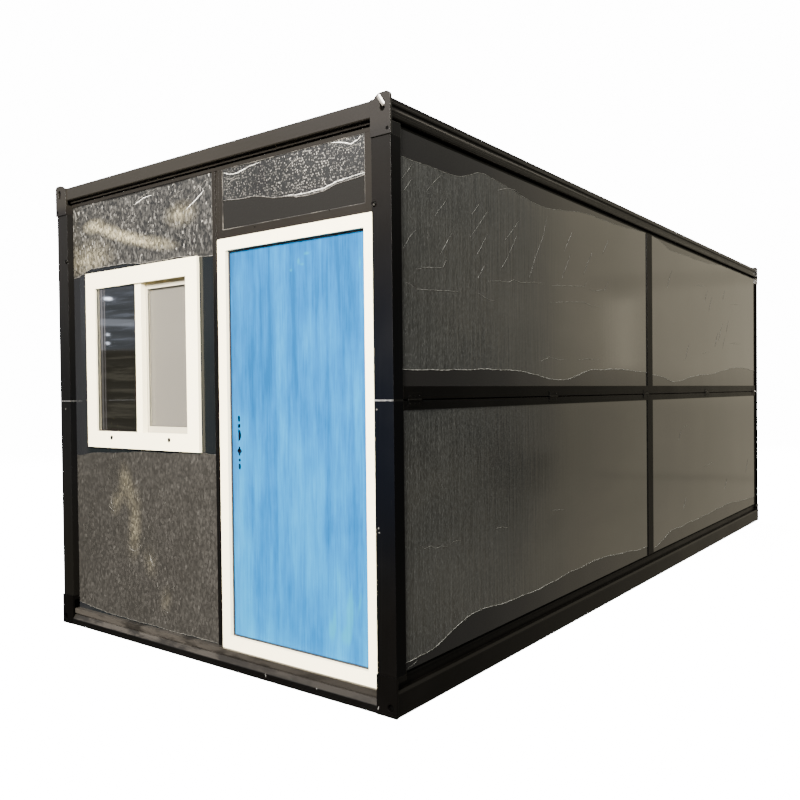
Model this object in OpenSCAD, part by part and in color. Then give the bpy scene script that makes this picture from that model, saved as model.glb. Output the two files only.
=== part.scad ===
// A folding steel-framed cabin: a base frame and a roof frame joined by two long walls
// that break at mid height, with a hung wall at each end. It stands here set up.
// Millimetres, +Z up, the front end at -Y, origin under the middle of the base.

/* [Overall] */
// Width over the corner plates
house_w = 2480; // [2300:10:2600]
// Length over the corner plates
house_l = 5800; // [4800:50:6200]
// Height to the top of the lifting lugs
house_h = 2520; // [2450:10:2700]
// Height of the fold line of the long walls
fold_z = 1286; // [1250:1:1310]
// Thickness of folded sheet and tube walls
steel_t = 4; // [3:0.5:5]
// Small bend at the edges of a folded sheet
bend = 4; // [3:0.5:6]
// Size of the folded shoulder of the base beams and bottom rails
shoulder = 10; // [8:1:12]

/* [Corner plates] */
// Width of a corner plate and of the posts' faces
plate_w = 105; // [95:1:120]
// Thickness of a corner plate
plate_t = 12; // [8:1:16]
// Height of a base corner plate
base_plate_h = 165; // [155:1:190]
// Height of a roof corner plate below the rail's top
roof_plate_h = 150; // [140:1:165]
// How far a lifting lug stands above the roof rail
lug_rise = 20; // [12:1:30]
// Width of a lifting lug
lug_w = 92; // [80:1:95]
// Rounding of a lug's outer shoulder
lug_outer_r = 20; // [10:1:24]
// Rounding of a lug's inner shoulder
lug_inner_r = 46; // [36:1:50]
// Distance of the lug's slot from the plate's outer edge
lug_slot_in = 40; // [34:1:48]
// Width of the slot in a lifting lug
lug_slot_w = 26; // [20:1:32]
// Height of the slot in a lifting lug
lug_slot_h = 48; // [40:1:60]
// Metal left above the slot in a lifting lug
lug_crown = 28; // [24:1:40]
// Width of the lashing hole in a base plate
lash_w = 34; // [28:1:40]
// Height of the lashing hole in a base plate
lash_h = 30; // [24:1:36]
// Height of the middle of the lashing hole
lash_z = 40; // [34:1:60]
// Distance of the lashing hole's middle from the plate's outer edge
lash_in = 31; // [28:1:50]
// Width of the screw hole in a roof plate
screw_d = 10; // [8:1:14]
// Distance of the screw hole from the plate's outer edge
screw_in = 17; // [14:1:24]
// Height of the screw hole above the plate's lower edge
screw_up = 22; // [16:1:30]

/* [Posts] */
// Depth of a post along the house
post_d = 65; // [55:1:80]
// How far posts stand in from the corner plates' edges
post_inset = 4; // [3:1:14]
// How far post faces stand behind the corner plates' faces
post_back = 6; // [3:1:10]
// Height of the gap at the fold, filled by a packing plate
fold_gap = 6; // [4:1:10]

/* [Base] */
// Height of the long base beams
side_beam_h = 141; // [130:1:150]
// Depth of the long base beams
side_beam_w = 85; // [75:1:100]
// Height of the long base beams' outer face, up to the ledge
side_beam_face_h = 98; // [90:1:104]
// How far the long base beams' ledge runs in
side_ledge = 28; // [24:1:32]
// Height of the end base beams
end_beam_h = 93; // [84:1:104]
// Height of the end base beams' lower face, up to its slope
lower_face_h = 34; // [28:1:40]
// Height of the drip groove in the end base beams
groove_z = 58; // [50:1:64]
// Width of the drip groove
groove_h = 6; // [4:1:8]
// How far the drip groove's bottom stands behind the lower face
groove_d = 20; // [18:1:24]
// How far the end base beams' upper face stands behind the lower face
upper_face_d = 14; // [10:1:16]
// Height of the floor's top surface
floor_z = 120; // [116:1:126]
// Thickness of the floor board
floor_t = 24; // [18:1:26]
// Gap around the floor board
floor_play = 2; // [1:0.5:4]
// Height of the floor joists
joist_h = 66; // [50:1:72]
// Width of the floor joists
joist_w = 50; // [40:1:60]
// Number of floor joists
joist_count = 9; // [5:1:12]

/* [Long walls] */
// How far the long walls' panels stand behind the corner plates
side_panel_inset = 14; // [12:1:20]
// How far the long walls' rails stand behind the corner plates
side_rail_inset = 8; // [8:1:12]
// Thickness of the long walls' panels
side_panel_t = 50; // [40:1:54]
// Depth of the long walls' rails, from outside to inside
side_rail_d = 68; // [56:1:75]
// Height of the rail under the fold
low_mid_rail_h = 38; // [30:1:50]
// Height of the rail over the fold
high_mid_rail_h = 54; // [45:1:70]
// Height of the bottom rail
bottom_rail_h = 31; // [28:1:40]
// Height of the top rail
top_rail_h = 14; // [12:1:30]
// How far the top rail stands behind the mid rails
top_rail_step = 16; // [10:1:20]
// How far the bottom rail stands behind the mid rails
bottom_rail_step = 18; // [12:1:20]
// Height of the bottom rail's bead above the base beam
bead_up = 8; // [6:1:10]
// How far the bottom rail's bead stands out
bead_out = 8; // [6:1:10]
// Gap between the two folds of the bottom rail's bead
bead_gap = 2; // [1:0.5:4]
// Width of the middle mullion
side_mullion_w = 96; // [50:1:110]
// How far the middle mullion stands in front of the house's middle
side_mullion_off = 45; // [0:5:60]

/* [Fold hinges] */
// Number of hinges along each fold
hinge_count = 5; // [3:1:7]
// Length of a fold hinge
hinge_len = 90; // [60:5:120]
// Distance from a corner plate's face to the centre of the end hinge
hinge_end = 150; // [130:5:250]
// How far the hinges between the end ones stand in front of even spacing
hinge_shift = 130; // [0:10:200]
// Radius of a fold hinge's barrel
hinge_r = 4; // [3:0.5:4]
// Height of one leaf of a fold hinge
hinge_leaf_h = 28; // [16:1:30]
// Thickness of one leaf of a fold hinge
hinge_leaf_t = 2; // [1.5:0.5:3]
// Gap between the knuckles of the hinges
knuckle_gap = 1; // [0.5:0.25:1.5]

/* [Roof] */
// Height of the end roof rails' faces
roof_rail_h = 71; // [60:1:80]
// How far the end roof rails' faces stand behind the corner plates
rail_face_d = 4; // [3:1:6]
// How far the lip under the end roof rails stands behind the corner plates
rail_lip_d = 30; // [24:1:34]
// Height of the lip under the end roof rails
rail_lip_h = 12; // [10:1:16]
// Depth of the end roof rails
end_rail_d = 80; // [70:1:90]
// Height of the long roof rails, with the part behind the drip lip
side_roof_rail_h = 96; // [90:1:104]
// Width of the long roof rails
roof_rail_w = 97; // [85:1:100]
// Height of the drip lip's underside above the long wall
drip_up = 14; // [10:1:18]
// Depth of the hollow under the drip lip
drip_d = 34; // [26:1:40]
// Height of the drip lip's face
drip_h = 18; // [14:1:22]
// Depth of the recess above the drip lip
recess_d = 8; // [6:1:10]
// Height of the slopes into the recess
recess_slope = 5; // [4:1:7]
// Distance of the top bead's lower edge from the rail's top
top_bead_low = 29; // [26:1:32]
// Distance of the top bead's upper edge from the rail's top
top_bead_high = 21; // [18:1:23]
// Height of the roof cross members
purlin_h = 40; // [30:1:45]
// Number of roof cross members
purlin_count = 6; // [4:1:10]
// How far the roof sheet lies below the rails' tops
sheet_drop = 30; // [24:1:36]
// How far the roof sheet laps under the long rails
sheet_lap = 40; // [20:1:60]
// Thickness of the ceiling panel
ceiling_t = 20; // [15:1:30]
// Pitch of the roof sheet's ribs
rib_pitch = 200; // [150:10:300]
// Height of the roof sheet's ribs
rib_h = 16; // [10:1:20]
// Width of a rib's flat top
rib_top_w = 44; // [30:1:60]
// Width of each sloping side of a rib
rib_side_w = 18; // [10:1:24]
// Thickness of the roof sheet
roof_sheet_t = 3; // [2:0.5:4]

/* [End walls] */
// How far the end walls' framing stands behind the corner plates
end_wall_back = 38; // [34:1:46]
// Thickness of the end walls' panels
end_panel_t = 50; // [40:1:52]
// How far the panels stand behind their framing
end_panel_back = 4; // [2:1:6]
// Height of the end walls' top rail
end_top_rail_h = 17; // [12:1:30]
// Gap between an end wall and the lip of the roof rail
end_top_gap = 8; // [6:1:14]
// Width of the mullion between door and window
mullion_w = 50; // [44:1:56]
// Place of that mullion's window side, from the middle of the house
mullion_x = 100; // [70:1:120]
// Place of the mullion's groove, from its window side
mullion_groove_x = 22; // [16:1:24]
// Width of the mullion's groove
mullion_groove_w = 15; // [12:1:16]
// Depth of the mullion's groove
mullion_groove_d = 6; // [4:1:10]
// How far the mullion's back edges turn in
mullion_lip = 12; // [8:1:16]
// Height of the bar over the door
transom_h = 44; // [34:1:54]
// Width of the stile beside the panel over the door, on the mullion
transom_left_w = 24; // [20:1:40]
// Width of the stile beside the panel over the door, on the post
transom_right_w = 62; // [50:1:70]

/* [Door] */
// Height of the door frame
door_frame_h = 1965; // [1880:5:1980]
// Width of the door frame's face at the sides
door_casing_w = 57; // [50:1:65]
// Width of the door frame's face at the head
door_head_w = 58; // [50:1:64]
// Height of the threshold's face
door_sill_h = 62; // [52:1:70]
// How far the door frame's face stands out from the wall framing
door_casing_proud = 12; // [8:1:16]
// How far the door frame's face laps over the mullion
door_over_mullion = 3; // [2:1:8]
// Gap from the door frame's face to the post
door_post_gap = 6; // [4:1:10]
// Thickness of the door frame's stop, from its face
door_stop_t = 18; // [14:1:20]
// How far the stop laps over the leaf
door_lap = 10; // [8:1:14]
// Thickness of the door leaf
leaf_t = 42; // [38:1:44]
// Gap between the leaf and its frame
leaf_gap = 7; // [6.5:0.5:9]
// Gap between the leaf and its stop
stop_gap = 6; // [5:0.5:8]
// How far the leaf stands out behind its frame
leaf_proud = 1; // [0.5:0.5:3]
// Radius of the door hinges' barrel
door_barrel_r = 7; // [6:0.5:7.5]
// Radius of the door hinges' pin
door_pin_r = 3.5; // [3:0.5:4]
// Gap around the pin in the leaf's knuckle
pin_play = 0.08; // [0.05:0.01:0.15]
// Length of a door hinge's plates
hinge_plate_l = 40; // [30:1:50]
// Thickness of a door hinge's plates
hinge_plate_t = 2.5; // [2:0.5:3]
// Length of one door hinge
door_hinge_h = 100; // [80:5:130]
// Distance of the end hinges' middles from the leaf's ends
door_hinge_end = 200; // [150:10:260]

/* [Lock holes] */
// Height of the lock's middle above the leaf's bottom
lock_z = 940; // [880:5:1000]
// Distance of the lock holes from the leaf's free edge
lock_x = 64; // [54:1:90]
// Depth of the lock holes
lock_d = 14; // [8:1:20]
// Width of the upright slots at the top and bottom of the lock
lock_slot_w = 14; // [10:1:18]
// Height of those slots
lock_slot_h = 29; // [20:1:34]
// Distance of those slots from the lock's middle
lock_slot_up = 114; // [105:1:130]
// Width of the square hole
lock_square_w = 17; // [12:1:20]
// Height of the square hole above the lock's middle
lock_square_up = 80; // [70:1:88]
// Outer radius of the curved hole
lock_arc_r = 33; // [28:1:36]
// Inner radius of the curved hole
lock_arc_in_r = 13; // [10:1:18]
// Height of the curved hole's middle above the lock's middle
lock_arc_up = 36; // [30:1:42]
// How far the curved hole's middle stands towards the leaf's edge
lock_arc_off = 20; // [16:1:24]
// Diameter of the round middle of the key hole
key_d = 26; // [20:1:30]
// Width of the key hole's arms
key_arm_w = 12; // [8:1:14]
// Length of the key hole's level arms
key_level_l = 33; // [30:1:40]
// Length of the key hole's upright arms
key_upright_l = 45; // [36:1:50]
// Distance of the key hole below the lock's middle
key_down = 40; // [32:1:46]
// Diameter of the lock's screw hole
lock_screw_d = 15; // [10:1:18]
// Distance of the screw hole below the lock's middle
lock_screw_down = 83; // [76:1:90]

/* [Window] */
// Width of the window frame
window_w = 979; // [880:1:985]
// Height of the window frame
window_h = 969; // [880:1:980]
// Height of the window frame's underside
window_z = 1029; // [990:1:1060]
// Gap from the window frame to the mullion
window_off = 108; // [95:1:130]
// Width of the window frame's face
window_casing_w = 90; // [80:1:96]
// How far the window frame's face stands out from the wall framing
window_proud = 14; // [10:1:18]
// Thickness of the window frame's face flange
flange_t = 10; // [8:1:12]
// How far the face flange laps over the wall around the frame
flange_lap = 8; // [5:1:12]
// Width of the box behind the face flange
window_box_w = 46; // [36:1:50]
// Width of the left sash's stiles and rails, hidden by the face flange
left_sash_w = 34; // [30:1:40]
// Width of the right sash's outer stile
right_sash_w = 46; // [38:1:56]
// Height of the right sash's rails
right_rail_w = 67; // [60:1:72]
// Depth of each sash
sash_d = 16; // [14:1:18]
// Width of the meeting stile
meet_w = 52; // [44:1:60]
// Distance from the frame's opening to the meeting stile
meet_off = 358; // [330:1:380]
// Depth of the meeting stile
meet_d = 30; // [26:1:32]
// How far the right sash's stile shows beside the meeting stile
meet_show = 10; // [6:1:16]
// Thickness of the glass
glass_t = 5; // [4:1:8]
// Gap in front of each sash
sash_play = 2; // [1:0.5:4]
// How far the left glass stands behind its sash's face
left_glass_in = 2; // [1:1:8]
// How far the right glass stands behind its sash's face
right_glass_in = 6; // [1:1:8]

/* [Hidden] */

steel = "#2e2c2a";
cream = "#f5f1e6";
film_blue = "#5ab4e6";
panel_grey = "#4a4846";

// Overlap of joined solids, and how far a cut runs past a surface
eps = 0.01;
cut = 1;
half_w = house_w / 2;
half_l = house_l / 2;
rail_top = house_h - lug_rise;
rail_low = rail_top - roof_rail_h;
rail_lip_z = rail_low - rail_lip_h;
roof_plate_z = rail_top - roof_plate_h;
post_x0 = half_w - plate_w;
post_x1 = half_w - post_inset;
end_wall_top = rail_lip_z - end_top_gap;
end_panel_top = end_wall_top - end_top_rail_h;
side_wall_top = rail_top - side_roof_rail_h;
floor_half_w = half_w - side_beam_w - floor_play;
end_inner = end_wall_back + end_panel_back + end_panel_t;

// door: depths run inward from the corner plates' outer faces
door_face = end_wall_back - door_casing_proud;
door_stop_back = door_face + door_stop_t;
leaf_face = door_stop_back + stop_gap;
leaf_back = leaf_face + leaf_t;
mullion_x1 = mullion_x + mullion_w;
door_x0 = mullion_x1 - door_over_mullion;
door_x1 = post_x0 - door_post_gap;
door_z0 = end_beam_h;
door_z1 = door_z0 + door_frame_h;
sight_x0 = door_x0 + door_casing_w;
sight_x1 = door_x1 - door_casing_w;
sight_z0 = door_z0 + door_sill_h;
sight_z1 = door_z1 - door_head_w;
leaf_x0 = sight_x0 - door_lap;
leaf_x1 = sight_x1 + door_lap;
leaf_z0 = sight_z0 - door_lap;
leaf_z1 = sight_z1 + door_lap;
door_axis_x = leaf_x1 + leaf_gap / 2;
door_axis_d = leaf_back + door_barrel_r;

// window
window_x1 = mullion_x - window_off;
window_x0 = window_x1 - window_w;
window_z1 = window_z + window_h;
window_face = end_wall_back - window_proud;

// A block between two corners, in depth d from the front end
module block(x0, x1, d0, d1, z0, z1)
    translate([x0, -half_l + d0, z0]) cube([x1 - x0, d1 - d0, z1 - z0]);

// The same block as a tube along x, open at both ends
module tube_x(x0, x1, d0, d1, z0, z1)
    difference() {
        block(x0, x1, d0, d1, z0, z1);
        block(x0 - cut, x1 + cut, d0 + steel_t, d1 - steel_t, z0 + steel_t, z1 - steel_t);
    }

// The same block as an upright tube
module tube_z(x0, x1, d0, d1, z0, z1)
    difference() {
        block(x0, x1, d0, d1, z0, z1);
        block(x0 + steel_t, x1 - steel_t, d0 + steel_t, d1 - steel_t, z0 - cut, z1 + cut);
    }

module both_sides() { children(); mirror([1, 0, 0]) children(); }
module both_ends() { children(); mirror([0, 1, 0]) children(); }
module to_left() { mirror([1, 0, 0]) children(); }
module to_back() { mirror([0, 1, 0]) children(); }

// Sheet metal: a folded strip has its outer face along a path, and its inner face one
// sheet's thickness to the left of it
function unit(v) = v / norm(v);
function left_of(a, b) = let (u = unit(b - a)) [-u[1], u[0]];
function inner_point(path, i) =
    let (n = len(path) - 1)
    i == 0 ? path[0] + steel_t * left_of(path[0], path[1])
    : i == n ? path[n] + steel_t * left_of(path[n - 1], path[n])
    : let (
        p = left_of(path[i - 1], path[i]),
        q = left_of(path[i], path[i + 1])
    ) path[i] + steel_t * (p + q) / (1 + p * q);
module folded_strip(path)
    polygon(concat(path, [for (i = [len(path) - 1 : -1 : 0]) inner_point(path, i)]));

// A profile in (outward, up) run along the house on the right side
module along_side(l0, l1)
    translate([0, l1, 0]) rotate([90, 0, 0]) linear_extrude(l1 - l0) children();

// A profile in (inward depth, up) run across the house at the front end
module along_end(x0, x1)
    translate([x0, -half_l, 0]) rotate([90, 0, 90]) linear_extrude(x1 - x0) children();

// An outline in (x, up) taken through a depth at the front end
module through_end(d0, d1)
    translate([0, -half_l + d1, 0]) rotate([90, 0, 0]) linear_extrude(d1 - d0) children();

// A profile in (x, inward depth) standing upright at the front end
module upright(z0, z1)
    translate([0, -half_l, z0]) linear_extrude(z1 - z0) children();

// A slot outline with round ends, w wide and h high
module slot_outline(w, h)
    if (h > w) {
        for (s = [-1, 1]) translate([0, s * (h - w) / 2]) circle(d = w, $fn = 48);
        square([w, h - w], center = true);
    } else {
        for (s = [-1, 1]) translate([s * (w - h) / 2, 0]) circle(d = h, $fn = 48);
        square([w - h, h], center = true);
    }

module base_corner_plate() {
    difference() {
        block(half_w - plate_w, half_w, 0, plate_t, 0, base_plate_h);
        through_end(-cut, plate_t + cut)
            translate([half_w - lash_in, lash_z]) slot_outline(lash_w, lash_h);
    }
    tube_z(post_x0, post_x1, plate_t, post_back + post_d, side_beam_h, base_plate_h);
}
module base_corner_plates()
    color(steel) both_ends() both_sides() base_corner_plate();

// The long base beam: an open channel with a ledge folded into its outer face
module right_base_beam()
    color(steel) along_side(-half_l + plate_t, half_l - plate_t)
        folded_strip([
            [half_w - side_beam_w, 0],
            [half_w - bend, 0],
            [half_w, bend],
            [half_w, side_beam_face_h],
            [half_w - shoulder, side_beam_face_h + shoulder],
            [half_w - side_ledge, side_beam_face_h + shoulder],
            [half_w - side_ledge, side_beam_h],
            [half_w - side_beam_w, side_beam_h]
        ]);
module left_base_beam() to_left() right_base_beam();

// The end base beam: a lower face, a sloping shoulder, a drip groove and an upper face
module front_base_beam()
    color(steel) along_end(-post_x0, post_x0)
        folded_strip([
            [end_inner, end_beam_h],
            [upper_face_d, end_beam_h],
            [upper_face_d, groove_z + groove_h],
            [groove_d, groove_z + groove_h],
            [groove_d, groove_z],
            [upper_face_d, groove_z],
            [0, lower_face_h],
            [0, bend],
            [bend, 0],
            [end_inner, 0]
        ]);
module back_base_beam() to_back() front_base_beam();

// Places of n members of width joist_w spread evenly over a length
function spread(n, run) = [for (i = [0 : n - 1]) (i / (n - 1) - 0.5) * (run - joist_w)];

module floor_joists()
    color(steel)
        for (y = spread(joist_count, house_l - 2 * end_inner))
            tube_x(-half_w + steel_t, half_w - steel_t, half_l + y - joist_w / 2,
                   half_l + y + joist_w / 2, floor_z - floor_t - joist_h, floor_z - floor_t);

module floor_board()
    color("#8d8a84")
        block(-floor_half_w, floor_half_w, end_inner + floor_play,
              house_l - end_inner - floor_play, floor_z - floor_t, floor_z);

// A hollow post standing on the right at the front end
module post(z0, z1) tube_z(post_x0, post_x1, post_back, post_back + post_d, z0, z1);
low_post_top = fold_z - fold_gap / 2;
high_post_foot = fold_z + fold_gap / 2;
module front_lower_posts() color(steel) both_sides() post(base_plate_h, low_post_top);
module front_upper_posts() color(steel) both_sides() post(high_post_foot, roof_plate_z);
module back_lower_posts() to_back() front_lower_posts();
module back_upper_posts() to_back() front_upper_posts();

module fold_packing_plates()
    color("#c9c7c2") both_ends() both_sides()
        block(post_x0, post_x1, post_back, post_back + post_d, low_post_top, high_post_foot);

// The long walls' halves, built on the right
wall_run = half_l - post_back - post_d;
rail_x = half_w - side_rail_inset;
panel_x = half_w - side_panel_inset;
module rail(z0, z1, step)
    along_side(-wall_run, wall_run)
        difference() {
            translate([rail_x - side_rail_d, z0])
                square([side_rail_d - step, z1 - z0]);
            translate([rail_x - side_rail_d + steel_t, z0 + steel_t])
                square([side_rail_d - step - 2 * steel_t, z1 - z0 - 2 * steel_t]);
        }
mullion_d0 = half_l - side_mullion_off - side_mullion_w / 2;
mullion_d1 = mullion_d0 + side_mullion_w;
module side_mullion(z0, z1)
    tube_z(rail_x - side_rail_d, rail_x, mullion_d0, mullion_d1, z0, z1);
module side_panels(z0, z1) {
    near_end = half_l - wall_run;
    block(panel_x - side_panel_t, panel_x, near_end, mullion_d0, z0, z1);
    block(panel_x - side_panel_t, panel_x, mullion_d1, house_l - near_end, z0, z1);
}

low_panel_z0 = side_beam_h + bottom_rail_h;
low_panel_z1 = low_post_top - low_mid_rail_h;
high_panel_z0 = high_post_foot + high_mid_rail_h;
high_panel_z1 = side_wall_top - top_rail_h;

// The bottom rail carries a folded bead along its outer face
module bottom_rail() {
    back_x = rail_x - side_rail_d - shoulder;
    face_x = rail_x - bottom_rail_step;
    bead_x = face_x + bead_out;
    bead_z0 = side_beam_h + bead_up;
    bead_z1 = bead_z0 + 2 * steel_t + bead_gap;
    along_side(-wall_run, wall_run)
        folded_strip([
            [back_x, side_beam_h],
            [face_x, side_beam_h],
            [face_x, bead_z0],
            [bead_x, bead_z0],
            [bead_x, bead_z1],
            [face_x, bead_z1],
            [face_x, low_panel_z0],
            [back_x, low_panel_z0]
        ]);
}
module right_lower_wall_frame()
    color(steel) {
        bottom_rail();
        rail(low_panel_z1, low_post_top, 0);
        side_mullion(low_panel_z0, low_panel_z1);
    }
module right_upper_wall_frame()
    color(steel) {
        rail(high_post_foot, high_panel_z0, 0);
        rail(high_panel_z1, side_wall_top, top_rail_step);
        side_mullion(high_panel_z0, high_panel_z1);
    }
module right_lower_wall_panels()
    color(panel_grey) side_panels(low_panel_z0, low_panel_z1);
module right_upper_wall_panels()
    color(panel_grey) side_panels(high_panel_z0, high_panel_z1);
module left_lower_wall_frame() to_left() right_lower_wall_frame();
module left_upper_wall_frame() to_left() right_upper_wall_frame();
module left_lower_wall_panels() to_left() right_lower_wall_panels();
module left_upper_wall_panels() to_left() right_upper_wall_panels();

// One fold hinge: two leaves on the rails' faces and a three-knuckle barrel
module fold_hinge(y)
    translate([rail_x, y - hinge_len / 2, fold_z]) {
        translate([0, 0, knuckle_gap])
            cube([hinge_leaf_t, hinge_len, hinge_leaf_h]);
        translate([0, 0, -knuckle_gap - hinge_leaf_h])
            cube([hinge_leaf_t, hinge_len, hinge_leaf_h]);
        for (i = [0 : 2])
            translate([hinge_r, i * hinge_len / 3 + knuckle_gap, 0]) rotate([-90, 0, 0])
                cylinder(r = hinge_r, h = hinge_len / 3 - 2 * knuckle_gap, $fn = 32);
        translate([hinge_r, 0, 0]) rotate([-90, 0, 0])
            cylinder(r = hinge_r / 2, h = hinge_len, $fn = 24);
    }
module fold_hinges() {
    run = house_l - 2 * hinge_end;
    last = hinge_count - 1;
    color("#5b5853") both_sides()
        for (i = [0 : last])
            fold_hinge(-run / 2 + i * run / last - (i > 0 && i < last ? hinge_shift : 0));
}

// The roof corner plate's outline: a plain plate with a rounded lifting lug
module roof_plate_outline() {
    inner_x = half_w - lug_w + lug_inner_r;
    outer_x = half_w - lug_outer_r;
    low_z = house_h - lug_inner_r;
    translate([post_x0, roof_plate_z]) square([plate_w, low_z - roof_plate_z]);
    translate([post_x0, low_z - eps]) square([inner_x - post_x0, rail_top - low_z]);
    translate([inner_x, low_z]) circle(r = lug_inner_r, $fn = 96);
    translate([inner_x, low_z - eps]) square([outer_x - inner_x, lug_inner_r + eps]);
    translate([outer_x - eps, low_z - eps])
        square([lug_outer_r + eps, lug_inner_r - lug_outer_r + eps]);
    translate([outer_x, house_h - lug_outer_r]) circle(r = lug_outer_r, $fn = 64);
}
slot_z = house_h - lug_crown - lug_slot_h / 2;
module roof_corner_plate() {
    through_end(0, plate_t)
        difference() {
            roof_plate_outline();
            translate([half_w - lug_slot_in, slot_z]) slot_outline(lug_slot_w, lug_slot_h);
            translate([half_w - screw_in, roof_plate_z + screw_up])
                circle(d = screw_d, $fn = 24);
        }
    tube_z(post_x0, post_x1, plate_t, post_back + post_d, roof_plate_z, side_wall_top);
}
module roof_corner_plates()
    color(steel) both_ends() both_sides() roof_corner_plate();

// The long roof rail: an open channel folded with a drip lip, a recess and a bead
module right_roof_rail() {
    x = half_w - post_back;
    drip_z0 = side_wall_top + drip_up;
    drip_z1 = drip_z0 + drip_h;
    bead_z0 = rail_top - top_bead_low;
    bead_z1 = rail_top - top_bead_high;
    color(steel) along_side(-half_l + plate_t, half_l - plate_t)
        folded_strip([
            [x - roof_rail_w, side_wall_top],
            [x - drip_d, side_wall_top],
            [x - drip_d, drip_z0],
            [x - bend, drip_z0],
            [x, drip_z0 + bend],
            [x, drip_z1],
            [x - recess_d, drip_z1 + recess_slope],
            [x - recess_d, bead_z0 - recess_slope],
            [x, bead_z0],
            [x, bead_z1],
            [x - bend, bead_z1 + bend],
            [x - bend, rail_top - bend],
            [x - 2 * bend, rail_top],
            [x - roof_rail_w, rail_top]
        ]);
}
module left_roof_rail() to_left() right_roof_rail();

// The end roof rail: a tall face, and a lip further in that hides the end wall's top
module front_roof_rail()
    color(steel) along_end(-post_x0, post_x0)
        folded_strip([
            [end_rail_d, rail_top],
            [rail_face_d + bend, rail_top],
            [rail_face_d, rail_top - bend],
            [rail_face_d, rail_low + bend],
            [rail_face_d + bend, rail_low],
            [rail_lip_d, rail_low],
            [rail_lip_d, rail_lip_z],
            [end_rail_d, rail_lip_z]
        ]);
module back_roof_rail() to_back() front_roof_rail();

ceiling_half_w = half_w - post_back - roof_rail_w;
sheet_half_w = ceiling_half_w + sheet_lap;
sheet_z = rail_top - sheet_drop;
purlin_z = sheet_z - purlin_h;
purlin_half_w = half_w - post_back - recess_d - steel_t;
module roof_purlins()
    color(steel)
        for (y = spread(purlin_count, house_l - 2 * end_rail_d))
            tube_x(-purlin_half_w, purlin_half_w, half_l + y - joist_w / 2,
                   half_l + y + joist_w / 2, purlin_z, sheet_z);
module ceiling_panel()
    color("#d9d7d0")
        block(-ceiling_half_w, ceiling_half_w, end_rail_d, house_l - end_rail_d,
              purlin_z - ceiling_t, purlin_z);

// The ribbed roof sheet, lying on the cross members between the rails
module roof_sheet() {
    sheet_l = house_l - 2 * end_rail_d;
    ribs = floor(sheet_l / rib_pitch);
    start = (sheet_l - ribs * rib_pitch) / 2;
    top = rib_top_w / 2;
    foot = top + rib_side_w;
    line = [
        for (i = [0 : ribs - 1]) let (y = start + (i + 0.5) * rib_pitch)
            each [[y - foot, 0], [y - top, rib_h], [y + top, rib_h], [y + foot, 0]]
    ];
    count = len(line);
    color(steel)
        translate([-sheet_half_w, -sheet_l / 2, sheet_z]) rotate([90, 0, 90])
            linear_extrude(2 * sheet_half_w)
                polygon(concat(
                    [[0, 0], [0, roof_sheet_t]],
                    [for (p = line) [p[0], p[1] + roof_sheet_t]],
                    [[sheet_l, roof_sheet_t], [sheet_l, 0]],
                    [for (i = [count - 1 : -1 : 0]) line[i]]
                ));
}

// An end wall's mullion: a lipped channel with a groove in its face
module mullion_profile(x) {
    groove_x0 = x + mullion_groove_x;
    groove_x1 = groove_x0 + mullion_groove_w;
    groove_back = end_wall_back + mullion_groove_d;
    folded_strip([
        [x + mullion_lip, end_inner],
        [x, end_inner],
        [x, end_wall_back],
        [groove_x0, end_wall_back],
        [groove_x0, groove_back],
        [groove_x1, groove_back],
        [groove_x1, end_wall_back],
        [x + mullion_w, end_wall_back],
        [x + mullion_w, end_inner],
        [x + mullion_w - mullion_lip, end_inner]
    ]);
}

// Front wall
module front_mullion()
    color(steel) upright(end_beam_h, end_panel_top) mullion_profile(mullion_x);
module end_top_rail()
    tube_x(-post_x0, post_x0, end_wall_back, end_inner, end_panel_top, end_wall_top);
module front_top_rail() color(steel) end_top_rail();
transom_x0 = mullion_x1 + transom_left_w;
transom_x1 = post_x0 - transom_right_w;
transom_z = door_z1 + transom_h;
module front_transom_frame()
    color(steel) {
        tube_x(mullion_x1, post_x0, end_wall_back, end_inner, door_z1, transom_z);
        tube_z(mullion_x1, transom_x0, end_wall_back, end_inner, transom_z, end_panel_top);
        tube_z(transom_x1, post_x0, end_wall_back, end_inner, transom_z, end_panel_top);
    }
module end_panel(x0, x1, z0, z1)
    color(panel_grey)
        block(x0, x1, end_wall_back + end_panel_back, end_inner, z0, z1);
module front_transom_panel() end_panel(transom_x0, transom_x1, transom_z, end_panel_top);
hole_x0 = window_x0 + flange_lap;
hole_x1 = window_x1 - flange_lap;
hole_z0 = window_z + flange_lap;
hole_z1 = window_z1 - flange_lap;
module front_lower_panel() end_panel(-post_x0, mullion_x, end_beam_h, hole_z0);
module front_upper_panel() end_panel(-post_x0, mullion_x, hole_z1, end_panel_top);
module window_side_panels() {
    end_panel(-post_x0, hole_x0, hole_z0, hole_z1);
    end_panel(hole_x1, mullion_x, hole_z0, hole_z1);
}

// A four-sided frame standing in the wall: outer edges, depths, then the widths of its
// left side, right side, foot and head
module frame_ring(x0, x1, z0, z1, d0, d1, left, right, foot, head)
    difference() {
        block(x0, x1, d0, d1, z0, z1);
        block(x0 + left, x1 - right, d0 - cut, d1 + cut, z0 + foot, z1 - head);
    }
module even_ring(x0, x1, z0, z1, d0, d1, w)
    frame_ring(x0, x1, z0, z1, d0, d1, w, w, w, w);

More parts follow.
